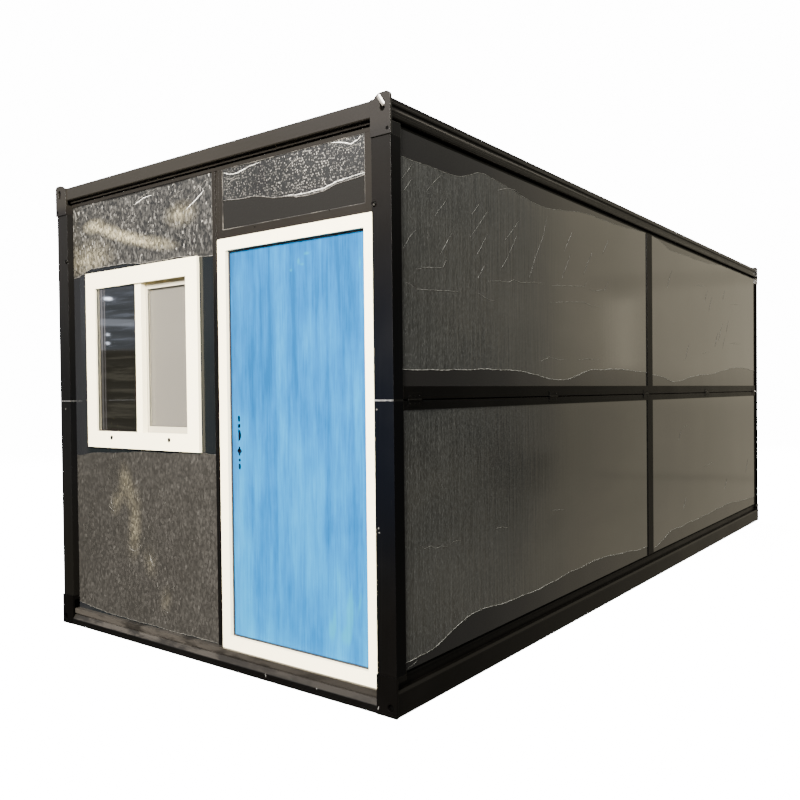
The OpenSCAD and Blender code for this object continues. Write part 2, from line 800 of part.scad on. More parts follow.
flange_back = window_face + flange_t;
panel_face = end_wall_back + end_panel_back;
module window_frame()
    color(cream) {
        even_ring(window_x0, window_x1, window_z, window_z1, window_face, flange_back,
                  window_casing_w);
        even_ring(window_x0, window_x1, window_z, window_z1, flange_back - eps, panel_face,
                  flange_lap + window_box_w);
        even_ring(hole_x0, hole_x1, hole_z0, hole_z1, panel_face - eps, end_inner,
                  window_box_w);
    }
sash_x0 = hole_x0 + window_box_w;
sash_x1 = hole_x1 - window_box_w;
sash_z0 = hole_z0 + window_box_w;
sash_z1 = hole_z1 - window_box_w;
meet_x0 = window_x0 + window_casing_w + meet_off;
meet_x1 = meet_x0 + meet_w;
left_sash_d = flange_back + sash_play;
right_sash_d = left_sash_d + meet_d + sash_play;
module left_sash()
    color(cream) {
        frame_ring(sash_x0, meet_x1, sash_z0, sash_z1, left_sash_d, left_sash_d + sash_d,
                   left_sash_w, meet_w, left_sash_w, left_sash_w);
        block(meet_x0, meet_x1, left_sash_d, left_sash_d + meet_d, sash_z0, sash_z1);
    }
module right_sash()
    color(cream)
        frame_ring(meet_x0, sash_x1, sash_z0, sash_z1, right_sash_d, right_sash_d + sash_d,
                   meet_w + meet_show, right_sash_w, right_rail_w, right_rail_w);
left_glass_d = left_sash_d + left_glass_in;
right_glass_d = right_sash_d + right_glass_in;
module window_glass()
    color([0.35, 0.4, 0.42, 0.5]) {
        block(sash_x0 + left_sash_w, meet_x0, left_glass_d, left_glass_d + glass_t,
              sash_z0 + left_sash_w, sash_z1 - left_sash_w);
        block(meet_x1 + meet_show, sash_x1 - right_sash_w, right_glass_d,
              right_glass_d + glass_t, sash_z0 + right_rail_w, sash_z1 - right_rail_w);
    }

module door_frame()
    color(cream) {
        // casing in front of the wall
        frame_ring(door_x0, door_x1, door_z0, door_z1, door_face, end_wall_back,
                   door_casing_w, door_casing_w, door_sill_h, door_head_w);
        // stop, then the box around the leaf
        frame_ring(mullion_x1, post_x0, door_z0, door_z1, end_wall_back - eps,
                   door_stop_back, sight_x0 - mullion_x1, post_x0 - sight_x1, door_sill_h,
                   door_head_w);
        frame_ring(mullion_x1, post_x0, door_z0, door_z1, door_stop_back - eps,
                   leaf_back - leaf_proud, leaf_x0 - leaf_gap - mullion_x1,
                   post_x0 - leaf_x1 - leaf_gap, leaf_z0 - leaf_gap - door_z0,
                   door_z1 - leaf_z1 - leaf_gap);
    }

// Door hinges: heights of their middles above the leaf's foot
leaf_h = leaf_z1 - leaf_z0;
hinge_heights = [door_hinge_end, leaf_h / 2, leaf_h - door_hinge_end];
third = door_hinge_h / 3;
module at_door_axis(z) translate([door_axis_x, -half_l + door_axis_d, z]) children();
module door_hinge_frame(z)
    at_door_axis(z - door_hinge_h / 2) {
        cylinder(r = door_pin_r, h = door_hinge_h, $fn = 48);
        for (foot = [0, 2 * third + knuckle_gap]) {
            translate([0, 0, foot])
                cylinder(r = door_barrel_r, h = third - knuckle_gap, $fn = 48);
            translate([leaf_gap / 2 - hinge_plate_t, -hinge_plate_l, foot])
                cube([hinge_plate_t, hinge_plate_l, third - knuckle_gap]);
        }
    }
module door_hinge_frames()
    color("#8f8d88") for (h = hinge_heights) door_hinge_frame(leaf_z0 + h);

module door_hinge_leaf(z)
    at_door_axis(z - door_hinge_h / 2 + third + knuckle_gap)
        difference() {
            union() {
                cylinder(r = door_barrel_r, h = third - 2 * knuckle_gap, $fn = 48);
                translate([-leaf_gap / 2, -door_barrel_r - hinge_plate_l, 0])
                    cube([hinge_plate_t, door_barrel_r + hinge_plate_l,
                          third - 2 * knuckle_gap]);
            }
            translate([0, 0, -cut])
                cylinder(r = door_pin_r + pin_play, h = third, $fn = 48);
        }

// The lock's holes: a slot at each end, a square, a curved hole, a key hole with four
// arms, and a screw hole
module lock_outline() {
    for (side = [-1, 1])
        translate([0, side * lock_slot_up]) slot_outline(lock_slot_w, lock_slot_h);
    translate([0, lock_square_up]) square(lock_square_w, center = true);
    translate([-lock_arc_off, lock_arc_up])
        difference() {
            circle(r = lock_arc_r, $fn = 64);
            circle(r = lock_arc_in_r, $fn = 48);
            translate([lock_arc_in_r - 2 * lock_arc_r, -lock_arc_r - cut])
                square([2 * lock_arc_r, 2 * lock_arc_r + 2 * cut]);
        }
    translate([0, -key_down]) {
        circle(d = key_d, $fn = 48);
        slot_outline(key_level_l, key_arm_w);
        slot_outline(key_arm_w, key_upright_l);
    }
    translate([0, -lock_screw_down]) circle(d = lock_screw_d, $fn = 32);
}
module door_leaf() {
    color(film_blue)
        difference() {
            block(leaf_x0, leaf_x1, leaf_face, leaf_back, leaf_z0, leaf_z1);
            through_end(leaf_face - cut, leaf_face + lock_d)
                translate([leaf_x0 + lock_x, leaf_z0 + lock_z]) lock_outline();
        }
    color("#8f8d88") for (h = hinge_heights) door_hinge_leaf(leaf_z0 + h);
}

// Back wall: two plain panels with a mullion between them
module back_wall_frame()
    color(steel) to_back() {
        end_top_rail();
        upright(end_beam_h, end_panel_top) mullion_profile(-mullion_w / 2);
    }
module back_wall_panels()
    to_back() both_sides()
        end_panel(mullion_w / 2, post_x0, end_beam_h, end_panel_top);

base_corner_plates();
left_base_beam();
right_base_beam();
front_base_beam();
back_base_beam();
floor_joists();
floor_board();
front_lower_posts();
front_upper_posts();
back_lower_posts();
back_upper_posts();
fold_packing_plates();
left_lower_wall_frame();
left_lower_wall_panels();
left_upper_wall_frame();
left_upper_wall_panels();
right_lower_wall_frame();
right_lower_wall_panels();
right_upper_wall_frame();
right_upper_wall_panels();
fold_hinges();
roof_corner_plates();
left_roof_rail();
right_roof_rail();
front_roof_rail();
back_roof_rail();
roof_purlins();
ceiling_panel();
roof_sheet();
front_mullion();
front_top_rail();
front_transom_frame();
front_transom_panel();
front_lower_panel();
front_upper_panel();
window_side_panels();
window_frame();
left_sash();
right_sash();
window_glass();
door_frame();
door_leaf();
door_hinge_frames();
back_wall_frame();
back_wall_panels();
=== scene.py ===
import math
import random

import bmesh
import bpy
from mathutils import Matrix, Vector, noise


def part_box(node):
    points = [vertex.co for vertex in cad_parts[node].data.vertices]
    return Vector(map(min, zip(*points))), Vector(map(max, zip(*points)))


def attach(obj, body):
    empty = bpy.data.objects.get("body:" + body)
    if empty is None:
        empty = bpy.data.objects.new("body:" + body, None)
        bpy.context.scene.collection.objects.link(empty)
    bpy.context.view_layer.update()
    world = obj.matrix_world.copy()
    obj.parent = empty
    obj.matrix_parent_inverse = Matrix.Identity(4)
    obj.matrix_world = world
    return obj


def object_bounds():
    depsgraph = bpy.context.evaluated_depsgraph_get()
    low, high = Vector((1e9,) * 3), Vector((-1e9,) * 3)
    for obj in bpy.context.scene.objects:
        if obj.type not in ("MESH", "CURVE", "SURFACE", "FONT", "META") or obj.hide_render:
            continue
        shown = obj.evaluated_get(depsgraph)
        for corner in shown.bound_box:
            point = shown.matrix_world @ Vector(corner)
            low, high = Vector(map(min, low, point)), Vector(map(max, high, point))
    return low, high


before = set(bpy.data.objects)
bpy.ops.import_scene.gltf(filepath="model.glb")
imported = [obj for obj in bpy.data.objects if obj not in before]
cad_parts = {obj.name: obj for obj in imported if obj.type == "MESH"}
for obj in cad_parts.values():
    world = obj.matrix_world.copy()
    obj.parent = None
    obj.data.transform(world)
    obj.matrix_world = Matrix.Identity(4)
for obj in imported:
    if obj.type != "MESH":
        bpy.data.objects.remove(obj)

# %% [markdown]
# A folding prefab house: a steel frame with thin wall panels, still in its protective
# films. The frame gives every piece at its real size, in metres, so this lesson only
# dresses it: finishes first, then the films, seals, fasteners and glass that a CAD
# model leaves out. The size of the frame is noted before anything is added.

cad_low, cad_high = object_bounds()
MM = 0.001
print("frame", [round(v, 3) for v in cad_high - cad_low])

# %% [markdown]
# The camera comes first, because every finish is judged from it. It stands at eye
# level off the front right corner. A camera looks down its own -Z, so its three axes
# are built from a heading, a small tilt and a small roll.

# %% Camera
def new_object(name, data):
    """An object of the scene, from a camera, a lamp or a mesh."""
    made = bpy.data.objects.new(name, data)
    bpy.context.scene.collection.objects.link(made)
    return made


CORNER = Vector((cad_high.x, cad_low.y, 0.0))
EYE = CORNER + Vector((1.9825, -2.4687, 1.3207))
HEADING, TILT, ROLL = (math.radians(a) for a in (35.255, -0.959, -0.590))

forward = Vector((-math.sin(HEADING) * math.cos(TILT), math.cos(HEADING) * math.cos(TILT),
                  math.sin(TILT)))
level = Vector((math.cos(HEADING), math.sin(HEADING), 0.0))
over = level.cross(forward)
across = level * math.cos(ROLL) + over * math.sin(ROLL)
up = over * math.cos(ROLL) - level * math.sin(ROLL)

lens = bpy.data.cameras.new("eye")
lens.lens, lens.sensor_width = 35.615, 36.0
lens.shift_x, lens.shift_y = -0.0524, 0.0055
lens.clip_end = 100.0
camera = new_object("eye", lens)
facing = Matrix((across, up, -forward)).transposed()
camera.matrix_world = Matrix.Translation(EYE) @ facing.to_4x4()
bpy.context.scene.camera = camera
print("eye at", [round(v, 3) for v in EYE])

# %% [markdown]
# Materials are node trees, and sums of masks are easier to read as Python sums. `Wire`
# wraps one output socket: + - * / between wires or numbers add Math nodes, and `node`
# makes any other node, with its settings first and then its sockets.

# %% Wire, a socket that can be added and multiplied
class Wire:
    """An output socket of a material's node tree."""

    def __init__(self, tree, socket=None):
        self.tree, self.socket = tree, socket

    def node(self, kind, settings=None, inputs=None, out=0):
        made = self.tree.nodes.new(kind)
        for name, value in (settings or {}).items():
            if name == "stops":
                self.set_stops(made.color_ramp, value)
            else:
                setattr(made, name, value)
        for key, value in (inputs or {}).items():
            if isinstance(value, Wire):
                self.tree.links.new(value.socket, made.inputs[key])
            else:
                made.inputs[key].default_value = value
        return Wire(self.tree, made.outputs[out])

    @staticmethod
    def set_stops(ramp, stops):
        first, last = ramp.elements[0], ramp.elements[-1]
        first.position, first.color = stops[0][0], grey_or_colour(stops[0][1])
        last.position, last.color = stops[-1][0], grey_or_colour(stops[-1][1])
        for place, shade in stops[1:-1]:
            ramp.elements.new(place).color = grey_or_colour(shade)

    def maths(self, operation, a, b=0.0):
        return self.node("ShaderNodeMath", {"operation": operation}, {0: a, 1: b})

    def __add__(self, other): return self.maths("ADD", self, other)
    def __radd__(self, other): return self.maths("ADD", other, self)
    def __sub__(self, other): return self.maths("SUBTRACT", self, other)
    def __rsub__(self, other): return self.maths("SUBTRACT", other, self)
    def __mul__(self, other): return self.maths("MULTIPLY", self, other)
    def __rmul__(self, other): return self.maths("MULTIPLY", other, self)
    def __truediv__(self, other): return self.maths("DIVIDE", self, other)
    def __rtruediv__(self, other): return self.maths("DIVIDE", other, self)


def grey_or_colour(shade):
    return (shade, shade, shade, 1) if isinstance(shade, (int, float)) else (*shade, 1)


# %% [markdown]
# Every finish here is a Principled shader. What is the same all over is set straight
# on its sockets, and only colour, roughness, alpha and the bump vary. The small helpers
# below give the patterns that the finishes share, all on Object coordinates, so each
# runs on from piece to piece as it does on the real house.

# %% Pattern helpers
def place(w):
    return w.node("ShaderNodeTexCoord", out=3)


def stretched(w, scale):
    return w.node("ShaderNodeMapping", {"vector_type": "POINT"},
                  {"Vector": place(w), "Scale": scale})


def cloud(w, scale, detail, rough=0.55, pull=None):
    """Soft noise, drawn out along an axis where pull is small."""
    vector = stretched(w, pull) if pull else place(w)
    return w.node("ShaderNodeTexNoise", inputs={"Vector": vector, "Scale": scale,
                                                "Detail": detail, "Roughness": rough})


def ease(w, value, low, high):
    """0 below low, 1 above high, smooth between."""
    return w.node("ShaderNodeMapRange", {"interpolation_type": "SMOOTHSTEP"},
                  {"Value": value, "From Min": low, "From Max": high})


def mix(w, mask, a, b):
    """Colour a where the mask is 0, colour b where it is 1."""
    a, b = (v if isinstance(v, Wire) else grey_or_colour(v) for v in (a, b))
    return w.node("ShaderNodeMix", {"data_type": "RGBA"}, {0: mask, 6: a, 7: b}, out=2)


def axis(w, letter):
    return w.node("ShaderNodeSeparateXYZ", inputs={0: place(w)}, out="XYZ".index(letter))


def past(w, letter, low, high):
    """0 before low, 1 past high, along an axis of the house."""
    return ease(w, axis(w, letter), low, high)


def away(w, letter):
    """The distance from the middle of the house along an axis."""
    return w.maths("ABSOLUTE", axis(w, letter))


def bump(w, height, strength, distance, **more):
    return w.node("ShaderNodeBump", inputs={"Height": height, "Strength": strength,
                                            "Distance": distance, **more})


def blots(w, face, spots, deep=1.0):
    """Soft oval patches on the upright face at y = face: each spot is (x, z, half width,
    half height, turn in degrees, weight)."""
    total = 0.0
    for x, z, wide, tall, degrees, weight in spots:
        own = w.node("ShaderNodeMapping", {"vector_type": "TEXTURE"},
                     {"Vector": place(w), "Location": (x, face, z),
                      "Scale": (wide, deep, tall), "Rotation": (0, math.radians(degrees), 0)})
        ball = w.node("ShaderNodeTexGradient", {"gradient_type": "SPHERICAL"},
                      {"Vector": own}, out=1)
        total = total + ball * weight
    return total


def waves(w, direction, vector, scale, **more):
    extra = {key.replace("_", " "): value for key, value in more.items()}
    return w.node("ShaderNodeTexWave", {"bands_direction": direction},
                  {"Vector": vector, "Scale": scale, **extra})


def finish(name, vary, gloss=0.5, **fixed):
    """A material: how much it mirrors, other fixed sockets by name (spaces as _), and a
    function for the rest."""
    material = bpy.data.materials.new(name)
    material.use_nodes = True
    tree = material.node_tree
    shader = tree.nodes["Principled BSDF"]
    shader.inputs["Specular IOR Level"].default_value = gloss
    for socket, value in fixed.items():
        shader.inputs[socket.replace("_", " ")].default_value = value
    for socket, wire in vary(Wire(tree)).items():
        tree.links.new(wire.socket, shader.inputs[socket])
    print("finish", name, "with", len(tree.nodes), "nodes")
    return material


# %% [markdown]
# The frame is satin paint over folded steel: taupe on the roof frame, near black on the
# posts and the base. One image of paint could be wrapped round each bar, but a mix of
# procedural masks fits bars of any length and never shows a seam. Dust settles in soft
# patches and the paint rubs through here and there. Folded sheet has no knife edges, so
# a Bevel node rounds the shading of every arris without touching the mesh, and the fine
# bump is orange peel from the spray gun.

# %% Paint
BLACK = (0.0009, 0.0008, 0.0007)
CHIP_DEPTH = 30 * MM


def paint(w, low_colour, high_colour, low_z, high_z, chips=None):
    """Satin paint that passes from one colour to another between two heights."""
    dust = cloud(w, 2.3, 6.0)
    scuff = cloud(w, 3.0, 5.0, 0.7, pull=(30, 30, 4))
    rubbed = ease(w, scuff, 0.68, 0.76)
    base = mix(w, past(w, "Z", low_z, high_z), low_colour, high_colour)
    dusty = mix(w, ease(w, dust, 0.45, 0.8) * 0.05, base, (0.012, 0.0108, 0.0095))
    wear_and_sheen = mix(w, rubbed * 0.10, dusty, (0.024, 0.022, 0.019))
    if chips:
        bare = ease(w, blots(w, *chips, CHIP_DEPTH), 0.3, 1.2)
        wear_and_sheen = mix(w, bare, wear_and_sheen, (0.10, 0.098, 0.092))
    orange_peel = cloud(w, 420.0, 2.0)
    dents = cloud(w, 9.0, 2.0)
    rounded = w.node("ShaderNodeBevel", {"samples": 4}, {"Radius": 1.6 * MM})
    return {"Base Color": wear_and_sheen,
            "Roughness": 0.24 + 0.20 * dust + 0.15 * rubbed,
            "Normal": bump(w, orange_peel * 0.12 + dents * 3.0, 0.30, 0.0006,
                           Normal=rounded)}


# %% [markdown]
# Not every bar looks alike, so the bars share the paint and each group adds what is
# its own. Plates and posts get painted shade on their outward sides, dark and glossy,
# posts pass from brown to blue-black and back as they rise, with a painted sheen on the
# far left one, the long roof rails show fine pale lines that are painted highlights, and
# the top of the end beams is painted lighter, partly dust and partly painted light on
# its ledge, with less of it towards the door. Small bare chips sit where a strap or a
# boot has knocked the paint off.

# %% Paint of the single bars
POST_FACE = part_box("front_lower_posts")[0].y
BASE_CHIPS = (cad_low.y, [(1.143, 0.027, 0.003, 0.012, 15, 2), (0.795, 0.034, 0.004, 0.005, 8, 2),
                          (0.473, 0.028, 0.003, 0.012, -5, 2)])
POST_CHIPS = (POST_FACE, [
    (1.1478, 1.2488, 0.005, 0.005, 0, 2), (1.1504, 0.7645, 0.004, 0.006, 0, 2),
    (1.1535, 0.7467, 0.006, 0.003, 0, 2), (-1.185, 1.24, 0.005, 0.005, 0, 2)])
CORNER_X, CORNER_Y = cad_high.x - 5.5 * MM, cad_high.y - 6.5 * MM


def shaded_sides(w, sockets):
    """The outward sides of plates and posts: painted shade, dark and glossy, never dusty."""
    side = (w.maths("GREATER_THAN", away(w, "X"), CORNER_X)
            * w.maths("LESS_THAN", away(w, "Y"), CORNER_Y))
    # Painted shade: the outward sides are mixed towards near black.
    sockets["Base Color"] = mix(w, side * 0.9, sockets["Base Color"], (0.0004, 0.0004, 0.0004))
    sockets["Roughness"] = sockets["Roughness"] * (1.0 - side * 0.7)
    return sockets


def roof_paint(w):
    taupe = mix(w, past(w, "X", -0.4, 1.2), (0.0112, 0.0098, 0.0077),
                (0.0067, 0.0056, 0.0044))
    return shaded_sides(w, paint(w, (0.0048, 0.0040, 0.0034), taupe, 2.345, 2.42))


def post_paint(w):
    """Brown-black at the foot, blue-black at eye level, brown again under the roof, and a painted
    sheen on the far left post.
    """
    low = mix(w, past(w, "Z", 0.35, 1.1), BLACK, (0.0007, 0.0010, 0.0019))
    # Painted sheen: the far left post is painted lighter, low and high.
    left = 1.0 - past(w, "X", -1.15, -1.05)
    wear_and_sheen = mix(w, left * 0.6, low, (0.0030, 0.0028, 0.0022))
    high = mix(w, left * 0.6, (0.0029, 0.0025, 0.0021), (0.0066, 0.0062, 0.0056))
    return shaded_sides(w, paint(w, wear_and_sheen, high, 1.35, 2.25, POST_CHIPS))


def rail_highlight_lines(w):
    """The long roof rails: dark, with fine pale lines along them that are painted highlights."""
    sockets = paint(w, (0.0014, 0.0013, 0.0011), (0.0024, 0.0022, 0.0020), 2.42, 2.50)
    # Painted highlights: pale streaks along the rails.
    lines = cloud(w, 1.2, 3.0, 0.6, pull=(60, 0.22, 60))
    sockets["Base Color"] = mix(w, ease(w, lines, 0.54, 0.66) * 0.8, sockets["Base Color"],
                                (0.0420, 0.0390, 0.0340))
    return sockets


def sill(w):
    """The end beams: a black face below, and a lighter one above, partly painted light on the ledge
    and partly dust in patches that thin out towards the door.
    """
    sockets = paint(w, BLACK, BLACK, 0, 1, BASE_CHIPS)
    blocks = cloud(w, 1.6, 3.0, 0.6, pull=(3.2, 1, 14))
    left = 1.0 - past(w, "X", -0.55, 0.95)
    # dusty: patches on the top face, partly dust and partly painted light on the ledge.
    dusty = ease(w, blocks, 0.40, 0.58) * (0.25 + 0.75 * left)
    top = past(w, "Z", 0.034, 0.038) * (0.30 + 0.70 * dusty)
    sockets["Base Color"] = mix(w, top, sockets["Base Color"], (0.0250, 0.0222, 0.0190))
    return sockets


def flat_paint(*shades):
    return lambda w: paint(w, *shades)


# %% [markdown]
# Now the finishes themselves. How much a paint mirrors is a constant of its Principled
# shader, so each has its own value. The back posts mirror nothing: they are seen almost
# edge-on, where even a dull gloss turns bright and the orange peel would make it sparkle.

# %% Paint finishes
taupe_paint = finish("taupe_paint", roof_paint, gloss=0.20)
dim_paint = finish("dim_paint", rail_highlight_lines, gloss=0.07)
black_paint = finish("black_paint", post_paint, gloss=0.10)
bar_paint = finish("bar_paint", flat_paint(
    (0.0012, 0.0011, 0.0010), (0.0074, 0.0064, 0.0052), 1.70, 2.20), gloss=0.12)
far_paint = finish("far_paint", flat_paint(
    (0.0010, 0.0009, 0.0008), (0.0024, 0.0021, 0.0018), 1.35, 2.25), gloss=0.0)
rail_paint = finish("rail_paint", flat_paint(
    (0.0006, 0.0006, 0.0006), (0.0010, 0.0009, 0.0008), 1.2, 2.2), gloss=0.03)
base_paint = finish("base_paint", flat_paint(BLACK, BLACK, 0, 1, BASE_CHIPS), gloss=0.05)
sill_paint = finish("sill_paint", sill, gloss=0.15)

# %% [markdown]
# The wall panels are dark coated sheet, smooth and almost a mirror at a low angle. Their
# inner faces are white. Two materials would mean picking faces one by one; one material
# gives both, because a mask on Object coordinates knows which side of the wall it is on.

# %% Panels
PANEL, INNER = (0.0034, 0.0044, 0.0050), (0.62, 0.61, 0.58)
INSIDE_X, INSIDE_Y = cad_high.x - 62 * MM, cad_high.y - 91.5 * MM


def panel(w):
    inside = (w.maths("LESS_THAN", away(w, "X"), INSIDE_X)
              * w.maths("LESS_THAN", away(w, "Y"), INSIDE_Y))
    haze = cloud(w, 1.1, 5.0)
    wave = cloud(w, 2.0, 1.0, pull=(1.2, 1.2, 0.7))
    low = mix(w, ease(w, haze, 0.35, 0.75) * 0.5, PANEL, (0.0060, 0.0062, 0.0066))
    # Painted reflection: the far left of the panels is painted lighter and bluer.
    left = 1.0 - past(w, "X", -1.05, -0.98)
    low = mix(w, left * 0.7, low, (0.0085, 0.0086, 0.0094))
    outer = mix(w, past(w, "Z", 1.98, 2.10), low, (0.0068, 0.0064, 0.0057))
    outer = mix(w, w.maths("GREATER_THAN", away(w, "X"), 1.20), outer, (0.0045, 0.0043, 0.0041))
    return {"Base Color": mix(w, inside, outer, INNER),
            "Roughness": 0.10 + 0.10 * haze + 0.35 * inside,
            "Normal": bump(w, wave, 0.5, 0.004)}


panel_sheet = finish("panel_sheet", panel, gloss=0.22)

# %% [markdown]
# The window and door frames are cream plastic, a little grubby, with finger marks. The
# plastic could be one flat colour, but then it would look like paper: specks and a
# rounded shading of the arrises make it a moulded bar. The right sash stands deep in
# the frame, so it takes the same plastic in shade instead of a lamp's work.

# %% Cream plastic
def cream(w):
    grime = cloud(w, 3.5, 6.0)
    speck = cloud(w, 60.0, 3.0)
    clean = mix(w, ease(w, grime, 0.4, 0.8) * 0.30, (0.960, 0.865, 0.590), (0.88, 0.79, 0.53))
    rounded = w.node("ShaderNodeBevel", {"samples": 4}, {"Radius": 1.5 * MM})
    return {"Base Color": mix(w, ease(w, speck, 0.72, 0.78) * 0.3, clean, (0.5, 0.47, 0.42)),
            "Roughness": 0.28 + 0.15 * grime,
            "Normal": bump(w, speck, 0.05, 0.0005, Normal=rounded)}


def sash_cream(w):
    """The right sash, whose left stile is the darkest part."""
    sockets = cream(w)
    stile = 1.0 - past(w, "X", -0.492, -0.486)
    shaded = mix(w, stile, (0.36, 0.33, 0.25), (0.105, 0.100, 0.086))
    sockets["Base Color"] = mix(w, 0.9, sockets["Base Color"], shaded)
    return sockets


cream_plastic = finish("cream_plastic", cream, gloss=0.5)
shaded_cream = finish("shaded_cream", sash_cream, gloss=0.5)

# %% [markdown]
# Zinc shows its spangle, which a Voronoi texture gives cell by cell. The packing plates
# in the fold gap are zinc too, with painted shade on their outward sides like the posts.
# The floor is a fibre board with stains, and the ceiling is a pale coated sheet.

# %% Zinc, board and ceiling
def zinc(w):
    spangle = w.node("ShaderNodeTexVoronoi", inputs={"Vector": place(w), "Scale": 90.0}, out=1)
    grain = w.node("ShaderNodeRGBToBW", inputs={0: spangle})
    return {"Base Color": mix(w, grain, (0.42, 0.42, 0.41), (0.66, 0.65, 0.63)),
            "Roughness": 0.28 + 0.2 * grain}


def board(w):
    fibre = cloud(w, 45.0, 8.0, 0.7)
    stain = cloud(w, 1.4, 4.0)
    plain = mix(w, fibre, (0.22, 0.21, 0.19), (0.36, 0.345, 0.32))
    return {"Base Color": mix(w, ease(w, stain, 0.5, 0.8) * 0.4, plain, (0.16, 0.15, 0.14)),
            "Roughness": 0.65 + 0.2 * fibre,
            "Normal": bump(w, fibre, 0.3, 0.001)}


def ceiling(w):
    tone = cloud(w, 2.0, 3.0)
    return {"Base Color": mix(w, tone, (0.70, 0.69, 0.66), (0.80, 0.79, 0.76)),
            "Roughness": 0.40 + 0.1 * tone,
            "Normal": bump(w, tone, 0.2, 0.002)}


zinc_plate = finish("zinc_plate", zinc, Metallic=1.0)
packing_zinc = finish("packing_zinc", lambda w: shaded_sides(w, zinc(w)), Metallic=1.0)
floor_board = finish("floor_board", board)
ceiling_sheet = finish("ceiling_sheet", ceiling)

# %% [markdown]
# Three finishes are for small pieces made later: black rubber with a grey bloom, an old
# smeared sealant, and the cloth of the fly screen. The cloth's threads are too fine to
# model, so two wave textures that cross stand for its weave.

# %% Rubber, sealant and screen cloth
def rubber(w):
    bloom = cloud(w, 30.0, 4.0)
    return {"Base Color": mix(w, bloom, (0.004, 0.004, 0.005), (0.012, 0.012, 0.012)),
            "Roughness": 0.55 + 0.2 * bloom}


def sealant(w):
    smear = cloud(w, 14.0, 4.0)
    return {"Base Color": mix(w, ease(w, smear, 0.42, 0.62), (0.006, 0.005, 0.004),
                              (0.070, 0.064, 0.054)),
            "Roughness": 0.5 + 0.2 * smear}


def screen_cloth(w):
    weft, warp = (waves(w, direction, place(w), 160.0) for direction in "ZX")
    cast = cloud(w, 1.6, 2.0, pull=(3, 1, 0.4))
    return {"Base Color": mix(w, cast, (0.122, 0.112, 0.092), (0.155, 0.142, 0.117)),
            "Roughness": 0.8 + 0.1 * cast,
            "Normal": bump(w, weft + warp, 0.4, 0.0004)}


aged_sealant = finish("aged_sealant", sealant)
black_rubber = finish("black_rubber", rubber, gloss=0.3)
fly_screen = finish("fly_screen", screen_cloth)

# %% [markdown]
# The door leaf wears a thick blue film, put on with a squeegee: tall streaks of paler
# and deeper blue, small blisters, and pale drops near the foot where water got under
# it. The lock's holes and the leaf's edges are bare dark metal, so a mask on the depth
# picks the film's face alone.

# %% Door film
LEAF_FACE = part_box("door_leaf")[0].y
DOOR_DROPS = [(0.845, 0.285, 0.034, 0.070, 0, 1.0), (0.862, 0.345, 0.016, 0.080, 0, 0.8),
              (0.920, 0.270, 0.050, 0.060, 0, 0.8), (0.950, 0.370, 0.034, 0.150, 4, 1.0),
              (1.005, 0.420, 0.014, 0.090, 12, 0.6), (0.890, 0.520, 0.040, 0.130, 0, 0.4),
              (0.720, 1.935, 0.030, 0.012, 0, 0.9), (0.668, 1.905, 0.014, 0.024, 0, 0.9),
              (0.690, 1.890, 0.020, 0.010, 0, 0.8), (0.620, 1.870, 0.014, 0.012, 0, 0.8),
              (1.030, 1.860, 0.014, 0.050, 0, 0.6)]


def door_blue(w):
    tall = cloud(w, 2.2, 6.0, 0.62, pull=(9, 1, 0.55))
    fine = cloud(w, 2.6, 6.0, 0.7, pull=(60, 1, 2.2))
    blot = cloud(w, 1.9, 4.0, pull=(3.4, 1, 1.6))
    tone = tall * 0.50 + fine * 0.30 + blot * 0.32
    # Painted light: the blue is painted lighter towards the foot of the leaf.
    blue = w.node("ShaderNodeValToRGB",
                  {"stops": [(0.44, (0.0, 0.044, 0.130)), (0.53, (0.0, 0.066, 0.190)),
                             (0.62, (0.0, 0.096, 0.240)), (0.76, (0.0, 0.140, 0.300))]},
                  {0: tone + 0.06 - 0.05 * axis(w, "Z")})
    ragged = blots(w, LEAF_FACE, DOOR_DROPS) + (fine - 0.5) * 0.7 + (blot - 0.5) * 0.5
    drops = ease(w, ragged, 0.15, 0.75)
    filmed = mix(w, drops * 0.45, blue, (0.004, 0.150, 0.200))
    depth = axis(w, "Y") - LEAF_FACE
    behind = ease(w, depth, 0.8 * MM, 1.4 * MM)
    blister = w.node("ShaderNodeTexVoronoi", {"feature": "SMOOTH_F1"},
                     {"Vector": stretched(w, (1.6, 1, 0.5)), "Scale": 34.0})
    return {"Base Color": mix(w, behind, filmed, (0.003, 0.004, 0.008)),
            "Roughness": 0.34 + 0.25 * fine,
            "Normal": bump(w, tall * 1.6 + fine * 0.8 + blister * 0.3, 0.5, 0.002)}


door_film = finish("door_film", door_blue, gloss=0.08)

# %% [markdown]
# The window's glass is dark, because the room behind is. The left pane carries a
# painted reflection: level bands, a bluer upper part, and pale upright bands where the
# white casing is mirrored. The right pane is clearer, with a grey screen behind it, so
# its Alpha is lower. A mask on X tells the two panes apart.

# %% Glass
PANES_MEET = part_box("right_sash")[0].x


def clear_glass(w):
    right = w.maths("GREATER_THAN", axis(w, "X"), PANES_MEET)
    # smear: the level bands of the painted reflection on the left pane.
    smear = cloud(w, 1.3, 5.0, 0.65, pull=(1.2, 1, 26))
    high = past(w, "Z", 1.560, 1.575)
    bands = ease(w, smear, 0.46, 0.62)
    low_reflection_tone = mix(w, bands, (0.0034, 0.0033, 0.0026), (0.0085, 0.0082, 0.0066))
    high_reflection_tone = mix(w, bands, (0.0050, 0.0056, 0.0060), (0.0130, 0.0150, 0.0190))
    # stile: pale upright bands, a painted reflection of the white casing.
    stile = (past(w, "X", -0.868, -0.860) - past(w, "X", -0.850, -0.846)
             + past(w, "X", -0.836, -0.832) - past(w, "X", -0.828, -0.822))
    left_tone = mix(w, stile * (0.35 + 0.4 * high), mix(w, high, low_reflection_tone, high_reflection_tone),
                    (0.050, 0.048, 0.050))
    return {"Base Color": mix(w, right, left_tone, (0.06, 0.058, 0.052)),
            "Alpha": 0.93 - 0.78 * right,
            "Roughness": 0.01 + 0.03 * smear}


window_glass = finish("window_glass", clear_glass, gloss=0.8, IOR=1.5)
